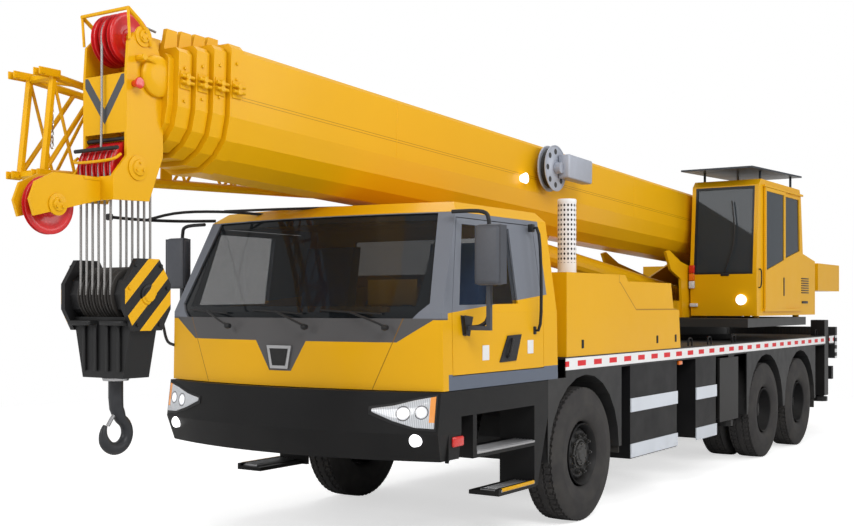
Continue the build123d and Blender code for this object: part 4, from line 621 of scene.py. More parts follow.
cab_paint = painted("cab_paint")
grey_here = cab_paint.mix(COWL, GREY, cab_paint.z > 1.66)
cab_colour = cab_paint.mix(cab_paint.colour, grey_here, surround(cab_paint))
sill_band = (cab_paint.z < 1.286) * (cab_paint.x < 3.86)
panel_gap = abs(cab_paint.y) - (cab_paint.z - 1.19) * 0.46 - 0.760
panel_gap = (abs(panel_gap) < 0.0035) * (cab_paint.z < 1.66) * (cab_paint.x > 3.86)
cab_colour = cab_paint.mix(cab_colour, (0.22, 0.10, 0.002), panel_gap * 0.85)
cab_paint.feed(Base_Color=cab_paint.mix(cab_colour, SILL_TINT, sill_band))
dress(cab_paint, "cab_shell")

door_paint = painted("door_paint")
mirror_mask = abs(door_paint.y) > 1.262
door_colour = door_paint.mix(door_paint.colour, GREY, surround(door_paint))
door_paint.feed(Base_Color=door_paint.mix(door_colour, (0.06, 0.064, 0.075), mirror_mask))
dress(door_paint, "door_left", "door_right")

mirror_shell = clouded("mirror_shell", (0.070, 0.075, 0.088), (0.085, 0.090, 0.105), 30.0, Specular_IOR_Level=0.3)
mirror_shell.uneven(12.0, 3.0, 0.12, 0.40)

trim_black = clouded("trim_black", (0.014, 0.014, 0.015), (0.026, 0.026, 0.027), 40.0, Specular_IOR_Level=0.2)
trim_black.uneven(25.0, 3.0, 0.15, 0.36)
trim_black.grain(500.0, 0.0004, 0.4)

bumper_black = Finish("bumper_black", Specular_IOR_Level=0.15)
bumper_black.feed(Base_Color=dusty(bumper_black, (0.010, 0.010, 0.0105), amount=0.1))
bumper_black.uneven(12.0, 3.0, 0.12, 0.36)
bumper_black.grain(420.0, 0.0005, 0.4)
dress(bumper_black, "bumper")

glass = Finish("tinted_glass", Base_Color=(0.012, 0.014, 0.016), Roughness=0.03, Specular_IOR_Level=0.3)
frit_side = abs(glass.y)
frit = frit_side.rise(1.03, 1.05).either(1.0 - glass.z.rise(1.735, 1.745)).either(glass.z.rise(2.33, 2.34))
glass.feed(Alpha=(frit * (glass.x > 3.0)) * 0.42 + (glass.noise(1.5) * 0.04 + 0.52))
dress(glass, "cab_glass")
PANES = [  # name, colour, roughness, gloss, least cover, nodes
    ("door_glass", (0.02, 0.026, 0.03), 0.03, 0.3, 0.18, ("door_glass_left", "door_glass_right")),
    ("dark_glass", (0.026, 0.036, 0.047), 0.04, 0.2, 0.93, ("crane_cab_glass", "crane_cab_door_glass")),
]
for name, colour, roughness, gloss, cover, nodes in PANES:
    pane = Finish(name, Base_Color=colour, Roughness=roughness, Specular_IOR_Level=gloss)
    pane.feed(Alpha=pane.noise(1.5) * 0.04 + cover)
    dress(pane, *nodes)

seat_trim = Finish("blue_seat_cloth")
cloth = seat_trim.noise(14.0, 3.0)
blue = seat_trim.mix((0.015, 0.045, 0.15), (0.03, 0.09, 0.24), cloth)
dash = (seat_trim.x > 3.35) * (seat_trim.z < 1.75)
seat_trim.feed(Base_Color=seat_trim.mix(blue, (0.015, 0.015, 0.017), dash), Roughness=0.85)
seat_trim.grain(500.0, 0.001, 0.7)
dress(seat_trim, "cab_interior", "crane_seat")


def bow(y, nose, corner, half):
    """X of a bowed front at a place across it: the circle through its nose and both its corners."""
    sag = nose - corner
    radius = (half**2 + sag**2) / (2 * sag)
    return nose - radius + np.sqrt(np.maximum(radius**2 - np.asarray(y, dtype=float) ** 2, 0.0))


CAB_FRONT = (4.115, 3.925, 1.25)  # x at the middle and at the corners, and half the width
BUMPER_FRONT = (4.215, 3.995, 1.25)
SCREEN_FOOT = 1.70
SCREEN_TOP = 2.395
SCREEN_LEAN = -0.370


def curved_patch(across_from, across_to, lower, upper, face, thickness, steps=24):
    """A thin shell laid on a bowed face: columns across it, each from a lower to an upper height."""
    share = np.linspace(0.0, 1.0, steps)
    y = across_from + (across_to - across_from) * share
    low, high = np.interp(share, *lower), np.interp(share, *upper)
    layers = ((-0.004, 0.0), (thickness * 0.6, 0.0), (thickness, 0.006))
    edge = [(low + drop, out) for out, drop in layers] + [(high - drop, out) for out, drop in layers[::-1]]
    columns = [np.stack([face(y, height) + out, y, height], axis=-1) for height, out in edge]
    return skin(np.stack(columns, axis=1))


def bumper_front(y, z):
    """The bumper's front: its nose and corners lean back a little towards the top."""
    lean = np.interp(z, (0.715, 0.90, 1.175), (-0.050, 0.0, -0.040))
    return bow(y, *BUMPER_FRONT) + lean


def screen_front(y, z):
    """The windscreen's surround: nose and corner lean back from the sill to the top of the glass."""
    lean = SCREEN_LEAN * (np.asarray(z) - SCREEN_FOOT) / (SCREEN_TOP - SCREEN_FOOT)
    return bow(y, *CAB_FRONT) + lean


brushed = Finish("satin_steel", Metallic=0.85)
grain = brushed.noise(6.0, 2.0, (1.0, 1.0, 40.0))
brushed.feed(Base_Color=brushed.mix((0.50, 0.50, 0.51), (0.36, 0.36, 0.37), grain))
brushed.uneven(80.0, 2.0, 0.15, 0.24)
outer = [(0.105, 1.46), (-0.105, 1.46), (-0.075, 1.31), (0.075, 1.31)]
inner = [(0.080, 1.442), (-0.080, 1.442), (-0.056, 1.328), (0.056, 1.328)]
piece("badge_frame", [panel(outer, 4.108, 4.128, 0.006, side_view=False)], brushed, smooth=30)
piece("badge_plate", [panel(inner, 4.120, 4.131, 0.003, side_view=False)], trim_black, smooth=30)

wipers = []
for foot in (-0.46, 0.27, 0.89):
    foot_x = float(screen_front(foot, 1.60)) + 0.012
    tip_x = float(screen_front(foot - 0.30, 1.70)) + 0.012
    wipers.append(bar([(foot_x - 0.03, foot, 1.60), (foot_x + 0.012, foot, 1.61),
                       (foot_x + 0.012, foot - 0.08, 1.64), (tip_x + 0.004, foot - 0.30, 1.705)], 0.008))
    blade_y = np.linspace(foot - 0.54, foot - 0.06, 12)
    blade_z = 1.690 + 0.025 * np.linspace(1.0, 0.0, 12)
    blade_x = screen_front(blade_y, blade_z) + 0.004
    wipers.append(bar(np.stack([blade_x, blade_y, blade_z], axis=-1), 0.007, 6, 0))
    wipers.append(lathe([(foot - 0.02, 0.018), (foot, 0.022), (foot + 0.02, 0.016)], (foot_x, 0.0, 1.60), 16))
piece("wipers", wipers, trim_black)
piece("screen_card", [slab((3.828, 0.560, 1.752), (3.834, 0.975, 1.925), 0.002)], panel_yellow)

BOWLS = ((1.02, 1.035, 0.050), (1.14, 1.045, 0.046))  # distance off the middle, height, radius
lens = Finish("clear_lens", Roughness=0.08, Coat_Weight=0.5)
lens_colour = lens.mix((0.36, 0.38, 0.41), (0.62, 0.64, 0.67), lens.y.stripe(0.012, 0.6))
# The glow added here is a painted highlight: faint over the whole lens and brighter in the middle of each bowl.
painted_highlight = 0.05
# Each reflector bowl is only painted on the flat lens: the dark ring round its rim is painted shade and its bright
# middle is a painted reflection.
for bowl_y, bowl_z, bowl_radius in BOWLS:
    across, above = abs(lens.y) - bowl_y, lens.z - bowl_z
    spread = across * across + above * above
    lens_colour = lens.mix(lens_colour, (0.06, 0.06, 0.065), spread < bowl_radius**2)
    lens_colour = lens.mix(lens_colour, (0.78, 0.79, 0.82), spread < (bowl_radius * 0.84) ** 2)
    painted_highlight = (spread < (bowl_radius * 0.62) ** 2) + painted_highlight
outer_end = abs(lens.y) > 1.192
lens_colour = lens.mix(lens_colour, (0.85, 0.30, 0.03), outer_end * (lens.z > 0.98))
# The emission is the painted highlight's glow, not a lit lamp.
painted_highlight_glow = lens.mix((0.0, 0.0, 0.0), (0.9, 0.92, 1.0), painted_highlight)
lens.feed(Base_Color=lens_colour, Emission_Color=painted_highlight_glow, Emission_Strength=1.0)
glow = clouded("lit_bulb", (0.95, 0.95, 0.95), (0.85, 0.87, 0.92), 50.0, Roughness=0.3)
glow.feed(Emission_Color=(1.0, 1.0, 1.0), Emission_Strength=1.6)
HOOD_RIM = (0.018, 0.014)  # how far the hood shows below and above the lamp
shares = [0.0, 0.35, 0.7, 1.0]
lower, upper = np.array([1.040, 0.985, 0.945, 0.940]), np.array([1.062, 1.085, 1.125, 1.150])
head_lamps, hoods, indicators, fogs = [], [], [], []
for side in (1, -1):
    head_lamps.append(curved_patch(side * 0.80, side * 1.225, (shares, lower), (shares, upper), bumper_front, 0.012))
    rim = (shares, lower - HOOD_RIM[0]), (shares, upper + HOOD_RIM[1])
    hoods.append(curved_patch(side * 0.775, side * 1.235, *rim, bumper_front, 0.006))
    fog = (float(bumper_front(side * 1.10, 0.86)), side * 1.10, 0.86)
    fogs.append(lathe([(-0.02, 0.042), (0.014, 0.042), (0.020, 0.034), (0.017, 0.010)], fog, 24, axis=0))
    indicators.append(slab((3.690, side * 1.240, 0.802), (3.825, side * 1.266, 0.872), 0.022))
piece("headlamp_glass", head_lamps, lens)
piece("headlamp_hoods", hoods, trim_black)
piece("fog_lamps", fogs, glow)
piece("side_indicators", indicators, red_lens)

plain_card = clouded("plain_card", (0.80, 0.80, 0.79), (0.70, 0.70, 0.69), 9.0, 3.0,
                     Roughness=0.5, Specular_IOR_Level=0.2)


def sided(side, *points):
    """Points given for the left, with their y turned to a side."""
    return [(x, side * y, z) for x, y, z in points]


handles, treads, yellow_edges, ribs = [], [], [], []
for side, hand in SIDES:
    recess = [(2.881, 1.533), (3.073, 1.527), (3.189, 1.345), (2.958, 1.350)]
    grip = sided(side, (3.085, 1.252, 1.375), (3.095, 1.272, 1.385), (3.035, 1.272, 1.495), (3.015, 1.252, 1.505))
    handle = [panel(recess, side * 1.2465, side * 1.2540), bar(grip, 0.011)]
    piece(f"door_handle_{hand}", handle, trim_black, f"door_{hand}")
    grab = sided(side, (2.62, 1.20, 2.33), (2.62, 1.27, 2.33), (2.66, 1.305, 1.56), (2.66, 1.235, 1.56))
    handles.append(bar(grab, 0.012, 10))
    handles.append(slab((2.60, side * 1.17, 2.30), (2.64, side * 1.215, 2.36), 0.008))
    handles.append(slab((2.64, side * 1.225, 1.53), (2.68, side * 1.252, 1.59), 0.008))
    shell = [slab((3.625, side * 1.352, 1.882), (3.724, side * 1.5599, 2.288), 0.034)]
    piece(f"mirror_shell_{hand}", shell, mirror_shell, f"door_{hand}")
    arm = sided(side, (3.645, 1.24, 1.60), (3.645, 1.36, 1.60), (3.650, 1.44, 1.66), (3.650, 1.44, 1.95),
                (3.650, 1.44, 2.33), (3.66, 1.40, 2.385), (3.68, 1.16, 2.385))
    foot = [(3.60, 1.665), (3.70, 1.675), (3.675, 1.55), (3.64, 1.545)]
    arm_parts = [bar(arm, 0.014, 10), panel(foot, side * 1.245, side * 1.275, 0.006)]
    piece(f"mirror_arm_{hand}", arm_parts, trim_black, f"door_{hand}")
    for end_x, step_z in ((3.50, 0.735), (3.17, 0.425)):
        treads.append(slab((2.67, side * 1.07, step_z - 0.012), (end_x, side * 1.2525, step_z + 0.006), 0.005))
        for rib_y in side * (1.09 + np.arange(6) * 0.028):
            rib_end = (end_x - 0.02, rib_y + side * 0.012, step_z + 0.012)
            ribs.append(slab((2.69, rib_y, step_z + 0.002), rib_end, 0.003))
    yellow_edges.append(slab((2.68, side * 1.240, 0.416), (3.16, side * 1.2540, 0.442), 0.004))
    card = [slab((3.335, side * 1.2455, 1.365), (3.425, side * 1.2490, 1.470), 0.0012)]
    piece(f"door_card_{hand}", card, plain_card, f"door_{hand}")
cards = [slab((2.690, side * 1.2425, 1.390), (2.775, side * 1.2500, 1.490), 0.0012) for side in (1, -1)]
for name, parts, finish in (("plain_cards", cards, plain_card), ("grab_handles", handles, trim_black),
                            ("step_treads", treads, brushed), ("step_ribs", ribs, brushed),
                            ("step_edges", yellow_edges, panel_yellow)):
    piece(name, parts, finish)

arms = [bar([(3.62, -1.10, 2.415), (3.90, -1.22, 2.40), (4.25, -1.30, 2.395), (4.51, -1.31, 2.40)], 0.012),
        bar([(3.60, -0.55, 2.440), (3.78, -0.85, 2.470), (3.98, -1.16, 2.465), (4.16, -1.28, 2.400)], 0.011),
        bar([(3.60, 0.15, 2.465), (3.70, -0.35, 2.470), (3.78, -0.85, 2.470)], 0.010),
        slab((4.49, -1.335, 2.375), (4.53, -1.285, 2.425), 0.012),
        bar([(3.93, -1.24, 1.44), (3.95, -1.30, 1.46), (3.96, -1.33, 1.60), (3.96, -1.36, 1.68),
             (4.00, -1.42, 1.70), (4.02, -1.52, 1.70)], 0.012),
        slab((3.98, -1.555, 1.62), (4.03, -1.46, 1.76), 0.015)]
piece("front_mirror_arms", arms, trim_black)


# ---- Superstructure -------------------------------------------------------------------------------
# The operator's cab with its black glass, dark sun visor and lamps, the winch with its rope, and
# the pale perforated guard round the exhaust.
crane_cab_paint = painted("crane_cab_paint")
visor_dark = crane_cab_paint.z > 3.215
front_seal = (crane_cab_paint.x > -2.80) * (crane_cab_paint.z > 2.105)
seal_side = (crane_cab_paint.y > 0.475) * (crane_cab_paint.y < 1.172) * (crane_cab_paint.z < 3.118)
sealed = crane_cab_paint.mix(crane_cab_paint.colour, (0.015, 0.017, 0.02), front_seal * seal_side)
crane_cab_paint.feed(Base_Color=crane_cab_paint.mix(sealed, (0.020, 0.026, 0.036), visor_dark))
dress(crane_cab_paint, "crane_cab")

fittings = [bar([(-2.66, 0.86, 2.135), (-2.635, 0.86, 2.15), (-2.655, 0.98, 2.50), (-2.705, 0.92, 2.95)], 0.007),
            slab((-2.685, 0.80, 2.085), (-2.655, 0.90, 2.115)),
            bar([(-2.75, 1.215, 1.95), (-2.75, 1.248, 1.95), (-2.76, 1.248, 2.16), (-2.76, 1.215, 2.16)], 0.008)]
fittings += [slab((-4.78, 1.2135, z), (-4.46, 1.2235, z + 0.012), 0.003) for z in 1.90 + np.arange(7) * 0.030]
fittings.append(slab((-4.74, 1.2135, 1.77), (-4.48, 1.2240, 1.80)))
for rail_x in -4.15 + np.arange(9) * 0.165:
    top = 3.369 - (rail_x + 4.395) * 0.0308
    fittings.append(slab((rail_x - 0.012, 0.415, top - 0.016), (rail_x + 0.012, 1.235, top), 0.004))
piece("operator_cab_fittings", fittings, trim_black, "superstructure")
red_lamp = [slab((-2.670, 0.425, 2.125), (-2.640, 0.490, 2.215))]
amber_lamp = [slab((-2.668, 0.425, 2.035), (-2.638, 0.490, 2.118))]
clear_lamps = [slab((-2.668, 0.425, 1.945), (-2.638, 0.490, 2.028)), slab((-2.690, 0.43, 1.730), (-2.650, 0.52, 1.770))]
work_lamp = [lathe([(0.0, 0.055), (0.045, 0.060), (0.055, 0.050), (0.050, 0.02)], (-2.700, 1.04, 1.81), 28, axis=0)]
piece("operator_cab_red_lamp", red_lamp, red_lens, "superstructure")
piece("operator_cab_amber_lamp", amber_lamp, amber, "superstructure")
piece("operator_cab_clear_lamps", clear_lamps, lens, "superstructure")
piece("operator_cab_work_lamp", work_lamp, glow, "superstructure")
door_grip = [bar([(-3.62, 1.249, 1.88), (-3.62, 1.2485, 2.06)], 0.0012, 6, 0),
             slab((-3.640, 1.2452, 1.86), (-3.600, 1.2499, 2.08), 0.002)]
piece("sliding_door_grip", door_grip, trim_black, "crane_cab_door")

winch_paint = clouded("winch_steel", (0.03, 0.03, 0.03), (0.06, 0.06, 0.06), 30.0, Metallic=0.4, Roughness=0.5)
dress(winch_paint, "winch")
wire = Finish("wire_rope_steel", Metallic=0.6, Roughness=0.42)
# The rope is a smooth tube: its diagonal dark and light bands are painted shade between the strands and painted light
# on their crowns.
painted_strand_shade = ((wire.z + wire.x) * 700.0).sine()
wire.feed(Base_Color=wire.mix((0.36, 0.35, 0.34), (0.17, 0.165, 0.16), painted_strand_shade.rise(-0.2, 0.9)))
ROPE_RADIUS = 0.008


def wound(start, end, wraps, steps, core, radius, swell):
    """The outline of rope on a drum: a ripple for each wrap, closed down to the core at both ends."""
    y = np.linspace(start, end, wraps * steps + 1)
    ripple = radius + swell * np.abs(np.sin((y - start) / (end - start) * wraps * math.pi))
    return [(start, core), *zip(y, ripple), (end, core)]


winch_rope = lathe(wound(-0.245, 0.245, 31, 6, 0.152, 0.176, 0.007), (-4.495, 0.0, 1.90), 48)
piece("winch_rope", [winch_rope], wire, "superstructure", 60)

EXHAUST = (1.645, 1.0, 0.0)  # the pipe's foot, on the ground below it
guard = Finish("pale_heat_guard", Roughness=0.5, Specular_IOR_Level=0.3)
round_about = guard.x.maths("ARCTAN2", guard.y - EXHAUST[1], guard.x - EXHAUST[0])
rows = guard.z * 78.0
dots = (round_about * 8.0 + rows).sine() * (round_about * 8.0 - rows).sine()
holes = (dots > 0.40) * (guard.z > 2.10) * (guard.z < 2.60)
pale_metal = dusty(guard, (0.80, 0.81, 0.83), (0.5, 0.47, 0.4), 0.3)
guard.feed(Base_Color=guard.mix(pale_metal, (0.02, 0.02, 0.025), holes))
guard.relief(1.0 - holes, 0.002, 0.6)
stack = [(2.010, 0.0795), (2.028, 0.0795), (2.030, 0.0775), (2.60, 0.0775), (2.604, 0.0795), (2.625, 0.0795),
         (2.632, 0.074), (2.626, 0.062), (2.30, 0.060)]
mouth = [(2.20, 0.050), (2.55, 0.050), (2.618, 0.055), (2.618, 0.050), (2.40, 0.046)]
chimney = piece("exhaust_guard", [lathe(stack, EXHAUST, 64, axis=2)], guard, "carrier")
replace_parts(chimney, "exhaust")
piece("exhaust_pipe", [lathe(mouth, EXHAUST, 48, axis=2)], black_coat, "carrier")


# ---- Boom and its fittings ------------------------------------------------------------------------
# The telescopic boom's collars carry locking rollers and pads; the base section carries the hoist
# rope over saddles along its top, seams down its sides and the reel of control cable.
LEAN = math.radians(2.13)


def on_boom(along, up, y, pivot=PIVOT):
    """A point from its distance along the boom and above its axis: both turned by the boom's lean."""
    x = pivot[0] + along * math.cos(LEAN) - up * math.sin(LEAN)
    z = pivot[1] + along * math.sin(LEAN) + up * math.cos(LEAN)
    return (x, y, z)


def boom_slab(along, y, up, edge=0.005, pivot=PIVOT):
    """A rounded box set square to the boom: a level one turned by the boom's lean."""
    points, faces = slab((along[0], min(y), up[0]), (along[1], max(y), up[1]), edge)
    return np.stack(on_boom(points[:, 0], points[:, 2], points[:, 1], pivot), axis=-1), faces


def boom_pin(along, up, y, radius, sides=20):
    """A short pin across the boom with eased ends."""
    low, high = min(y), max(y)
    profile = [(low, radius * 0.8), (low + radius * 0.2, radius), (high - radius * 0.2, radius), (high, radius * 0.8)]
    return lathe(profile, on_boom(along, up, 0.0), sides)


SECTIONS = ("boom", "boom_section_2", "boom_section_3", "boom_section_4")
for index, body in enumerate(SECTIONS):
    front = 10.612 + index * 0.118
    width, height = 0.360 - index * 0.030, 0.385 - index * 0.030
    pads, studs = [], []
    for side in (1, -1):
        outer = side * (width + 0.012)
        axis = outer + side * 0.024
        for up in (0.13, 0.095):
            studs.append(boom_pin(front - 0.050, up, (outer, outer + side * 0.040), 0.020))
            studs.append(bar([on_boom(front - 0.105, up, axis), on_boom(front - 0.004, up, axis)], 0.011, 10, 0))
        skirt = (outer - side * 0.004, outer + side * 0.010)
        pads.append(boom_slab((front - 0.095, front - 0.012), skirt, (0.055, 0.165), 0.004))
        tab, tall = (side * 0.085, side * 0.118), (height + 0.010, height + 0.060)
        pads.append(boom_slab((front - 0.090, front - 0.016), tab, tall, 0.006))
        for up in height - 0.11 - np.arange(3) * 0.10:
            studs.append(boom_pin(front - 0.050, up, (outer - side * 0.002, outer + side * 0.010), 0.011, 6))
    piece(f"collar_rollers_{index + 1}", studs + pads, boom_yellow, body)
    rubbing = [boom_slab((front - 0.080, front - 0.026), (-0.05, 0.05), (height + 0.012, height + 0.022), 0.003)]
    piece(f"collar_pads_{index + 1}", rubbing, trim_black, body)

steel_line = [on_boom(-0.10, 0.425, 0.0), on_boom(5.0, 0.445, 0.0), on_boom(10.55, 0.487, 0.0)]
saddles = [boom_slab((along - 0.03, along + 0.03), (-0.06, 0.06), (0.380, 0.425 + along * 0.004), 0.008)
           for along in (0.0, 3.4, 6.8, 9.6)]
seams = [boom_slab((along - 0.004, along + 0.004), (side * 0.3592, side * 0.3615), (-0.06, 0.355), 0.001)
         for side in (1, -1) for along in (2.2, 4.4, 6.6, 8.8)]
piece("hoist_rope", [bar(steel_line, ROPE_RADIUS, 8, 0)], wire, "boom", 60)
piece("rope_saddles", saddles, boom_yellow, "boom")
piece("boom_seams", seams, boom_yellow, "boom")

reel_metal = clouded("reel_metal", (0.42, 0.45, 0.52), (0.33, 0.35, 0.40), 9.0, 4.0, Metallic=0.3)
reel_metal.uneven(40.0, 2.0, 0.2, 0.38)
cable_black = clouded("cable_black", (0.02, 0.02, 0.02), (0.05, 0.05, 0.05), 50.0,
                      Specular_IOR_Level=0.35, Roughness=0.5)
REEL = (0.875, 0.0, 3.0)
flange = [(0.0, 0.050), (0.0, 0.205), (0.004, 0.210), (0.012, 0.210), (0.012, 0.202), (0.008, 0.198), (0.008, 0.110),
          (0.014, 0.100), (0.014, 0.060), (0.014, 0.050)]
drum = [lathe([(0.488 + y, radius) for y, radius in flange], REEL, 56),
        lathe([(0.432 - y, radius) for y, radius in flange], REEL, 56),
        lathe([(0.360, 0.048), (0.420, 0.048), (0.500, 0.046), (0.505, 0.052), (0.560, 0.050)], REEL, 32),
        boom_slab((-0.52, -0.03), (0.502, 0.620), (-0.09, 0.13), 0.018, (REEL[0], REEL[2])),
        boom_slab((6.42, 6.50), (0.359, 0.505), (0.10, 0.22), 0.006)]
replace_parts(piece("reel_flanges", drum, reel_metal, "boom", 35), "cable_reel")
cable = [lathe(wound(0.434, 0.486, 5, 8, 0.14, 0.176, 0.006), REEL, 56)]
cable += [lathe([(0.490, 0.026), (0.4975, 0.026)], circled(REEL, 0.152, index / 8), 20) for index in range(8)]
piece("reel_cable", cable, cable_black, "boom", 60)


# ---- Boom head and sheaves ------------------------------------------------------------------------
# Two side plates with a front plate carry red nylon sheaves on three pins. The front plate has a
# grey chevron; a round cover, a lamp and the pins' bolted caps sit on the side plates.
head_paint = painted("head_yellow")
off_centre = abs(head_paint.y)
chevron_height = head_paint.z - off_centre * 1.35
chevron = (chevron_height > 2.815) * (chevron_height < 2.905) * (head_paint.x > 5.668) * (head_paint.z < 3.10)
chevron = chevron * (off_centre < 0.1705)
head_paint.feed(Base_Color=head_paint.mix(head_paint.colour, (0.075, 0.078, 0.085), chevron))
dress(head_paint, "boom_tip")

nylon = clouded("red_nylon", (0.66, 0.010, 0.012), (0.50, 0.007, 0.009), 11.0, 3.0, Roughness=0.34, Coat_Weight=0.2)
nylon.grain(60.0, 0.0006, 0.4)
SHEAVE_RING = [(-0.016, 0.036), (-0.016, 0.058), (-0.008, 0.064), (-0.008, 0.120), (-0.016, 0.132), (-0.016, 0.162)]
SHEAVE_RING += [(-0.014, 0.165), (-0.0115, 0.165), (-0.0085, 0.148), (-0.004, 0.1435), (0.004, 0.1435), (0.0085, 0.148)]
SHEAVE_RING += [(0.0115, 0.165), (0.014, 0.165), (0.016, 0.162), (0.016, 0.132), (0.008, 0.120), (0.008, 0.064)]
SHEAVE_RING += [(0.016, 0.058), (0.016, 0.036), (-0.016, 0.036)]
STATIONS = [(index - 2.5) * 0.052 for index in range(6)]
HEAD_PIN = (5.595, 0.0, 2.555)
TOP_PIN = (5.555, 0.0, 3.335)
NOSE_PIN = (6.082, 0.0, 2.311)
ROPE_REACH = 0.1513  # from a pin to the middle of the rope in its sheave's groove


def sheave(pin, y, share=1.0):
    """A grooved sheave, lathed as one closed ring about its pin."""
    return lathe([(y + offset, radius * share) for offset, radius in SHEAVE_RING], pin, 56, capped=False)


bank = [sheave(HEAD_PIN, y) for y in STATIONS] + [sheave(TOP_PIN, y, 0.95) for y in (-0.07, 0.0, 0.07)]
bank.append(sheave(NOSE_PIN, 0.0))
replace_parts(piece("head_sheaves", bank, nylon, "boom_tip"), "sheaves")

wraps = []
around = np.linspace(0, 2 * math.pi, 9)
for y in STATIONS:
    groove = list(zip(y + ROPE_RADIUS * np.sin(around), ROPE_REACH + ROPE_RADIUS * np.cos(around)))
    wraps.append(lathe(groove, HEAD_PIN, 56, capped=False))
over = [circled(TOP_PIN, 0.145, share) for share in np.linspace(-0.2, math.pi / 2, 20) / (2 * math.pi)]
wraps.append(bar([(5.28, 0.0, 3.440), *over, (5.700, 0.0, 2.90), (5.706, 0.0, 2.668)], ROPE_RADIUS, 8, 0))
piece("head_ropes", wraps, wire, "boom_tip", 60)

COVER = (5.455, 0.0, 3.115)
near_cover = [(0.188, 0.118), (0.200, 0.125), (0.214, 0.122), (0.226, 0.105), (0.232, 0.060), (0.233, 0.02)]
far_cover = [(-0.188, 0.118), (-0.214, 0.122), (-0.232, 0.060), (-0.233, 0.02)]
head_parts = [lathe(near_cover, COVER, 48), lathe(far_cover, COVER, 48)]
for pin, width, size in ((HEAD_PIN, 0.190, 0.062), (TOP_PIN, 0.190, 0.050), (NOSE_PIN, 0.080, 0.050)):
    cap = [(-0.004, size + 0.012), (0.008, size + 0.012), (0.010, size * 0.8), (0.020, size * 0.72), (0.022, 0.02)]
    for side in (1, -1):
        head_parts.append(lathe([(side * (width + out), radius) for out, radius in cap], pin, 32))
        bolt = [(side * (width + 0.018), 0.008), (side * (width + 0.030), 0.008)]
        head_parts += [lathe(bolt, circled(pin, size * 0.45, index / 3), 6) for index in range(3)]
step = [(5.72, -0.185, 2.625), (5.775, -0.185, 2.585), (5.775, 0.185, 2.585), (5.72, 0.185, 2.625)]
head_parts += [bar(step, 0.009),
               bar([(5.45, 0.19, 3.16), (5.50, 0.235, 3.19), (5.62, 0.235, 3.205)], 0.010),
               bar([(5.60, 0.188, 3.20), (5.60, 0.26, 3.20)], 0.018, 12, 0),
               slab((5.70, -0.085, 2.468), (5.90, 0.085, 2.488), 0.004),
               bar([(5.678, -0.205, 3.478), (5.678, 0.205, 3.478)], 0.011, 10, 0)]
for side in (1, -1):
    horn = sided(side, (5.500, 0.198, 3.285), (5.560, 0.200, 3.400), (5.678, 0.200, 3.478))
    head_parts.append(bar(horn, 0.013, rounds=1))
    head_parts.append(bar(sided(side, (5.678, 0.200, 3.478), (5.665, 0.198, 3.30)), 0.009, 8, 0))
piece("head_covers", head_parts, boom_yellow, "boom_tip", 35)
head_lamp = [(0.190, 0.020), (0.235, 0.032), (0.240, 0.034), (0.245, 0.030), (0.247, 0.010)]
piece("head_lamp", [lathe(head_lamp, (5.625, 0.0, 3.045), 24)], red_lens, "boom_tip")
boom_lamp = [(0.360, 0.030), (0.400, 0.046), (0.412, 0.048), (0.416, 0.040), (0.413, 0.012)]
piece("boom_work_lamp", [lathe(boom_lamp, (1.278, 0.0, 2.878), 24)], glow, "boom")
keepers = [lathe([(-0.185, 0.012), (0.185, 0.012)], circled(HEAD_PIN, 0.182, turn / (2 * math.pi)), 12)
           for turn in (0.35, 0.95)]
piece("rope_keepers", keepers, trim_black, "boom_tip")


# ---- Hook block and hook --------------------------------------------------------------------------
# Steel cheeks, the outer faces barred yellow and black, hold six sheaves; a forged hook with a
# spring latch swivels below on its shank and nut.
block_paint = Finish("block_paint", Specular_IOR_Level=0.25)
bars_of_paint = (block_paint.x + block_paint.z).stripe(0.175) * (block_paint.z > 1.592)
bars_of_paint = bars_of_paint * (abs(block_paint.y) > 0.2785)
block_black = dusty(block_paint, (0.014, 0.014, 0.0145))
block_paint.feed(Base_Color=block_paint.mix(block_black, YELLOW, bars_of_paint), Roughness=0.40)
block_paint.grain(90.0, 0.0006, 0.3)
dress(block_paint, "hook_block")

BLOCK_PIN = (5.595, 0.0, 1.81)
falls = [bar([(pin_x, y, BLOCK_PIN[2]), (pin_x, y, HEAD_PIN[2])], ROPE_RADIUS, 8, 0)
         for y in STATIONS for pin_x in (BLOCK_PIN[0] + ROPE_REACH, BLOCK_PIN[0] - ROPE_REACH)]
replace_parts(piece("rope_falls", falls, wire, "hook_block", 60), "ropes")
dark_sheave = clouded("block_sheave", (0.03, 0.028, 0.027), (0.055, 0.05, 0.045), 12.0, 3.0,
                      Roughness=0.45, Specular_IOR_Level=0.35)
piece("block_sheaves", [sheave(BLOCK_PIN, y) for y in STATIONS], dark_sheave, "hook_block")
pin_cap = [(0.272, 0.060), (0.288, 0.058), (0.290, 0.044), (0.297, 0.040), (0.298, 0.010)]
fixings = []
for side in (1, -1):
    fixings.append(lathe([(side * y, radius) for y, radius in pin_cap], BLOCK_PIN, 32))
    for x, z in ((5.50, 1.98), (5.69, 1.98), (5.45, 1.85), (5.74, 1.85), (5.51, 1.635), (5.68, 1.635)):
        fixings.append(lathe([(side * 0.276, 0.012), (side * 0.290, 0.011)], (x, 0.0, z), 6))
    fixings.append(slab((5.43, side * 0.04, 1.63), (5.76, side * 0.24, 1.66), 0.010))
fixings += [slab((5.697, y - 0.012, 1.36), (5.712, y + 0.012, 1.64), 0.005) for y in (-0.15, -0.05, 0.05, 0.15)]
piece("block_fixings", fixings, block_paint, "hook_block", 35)

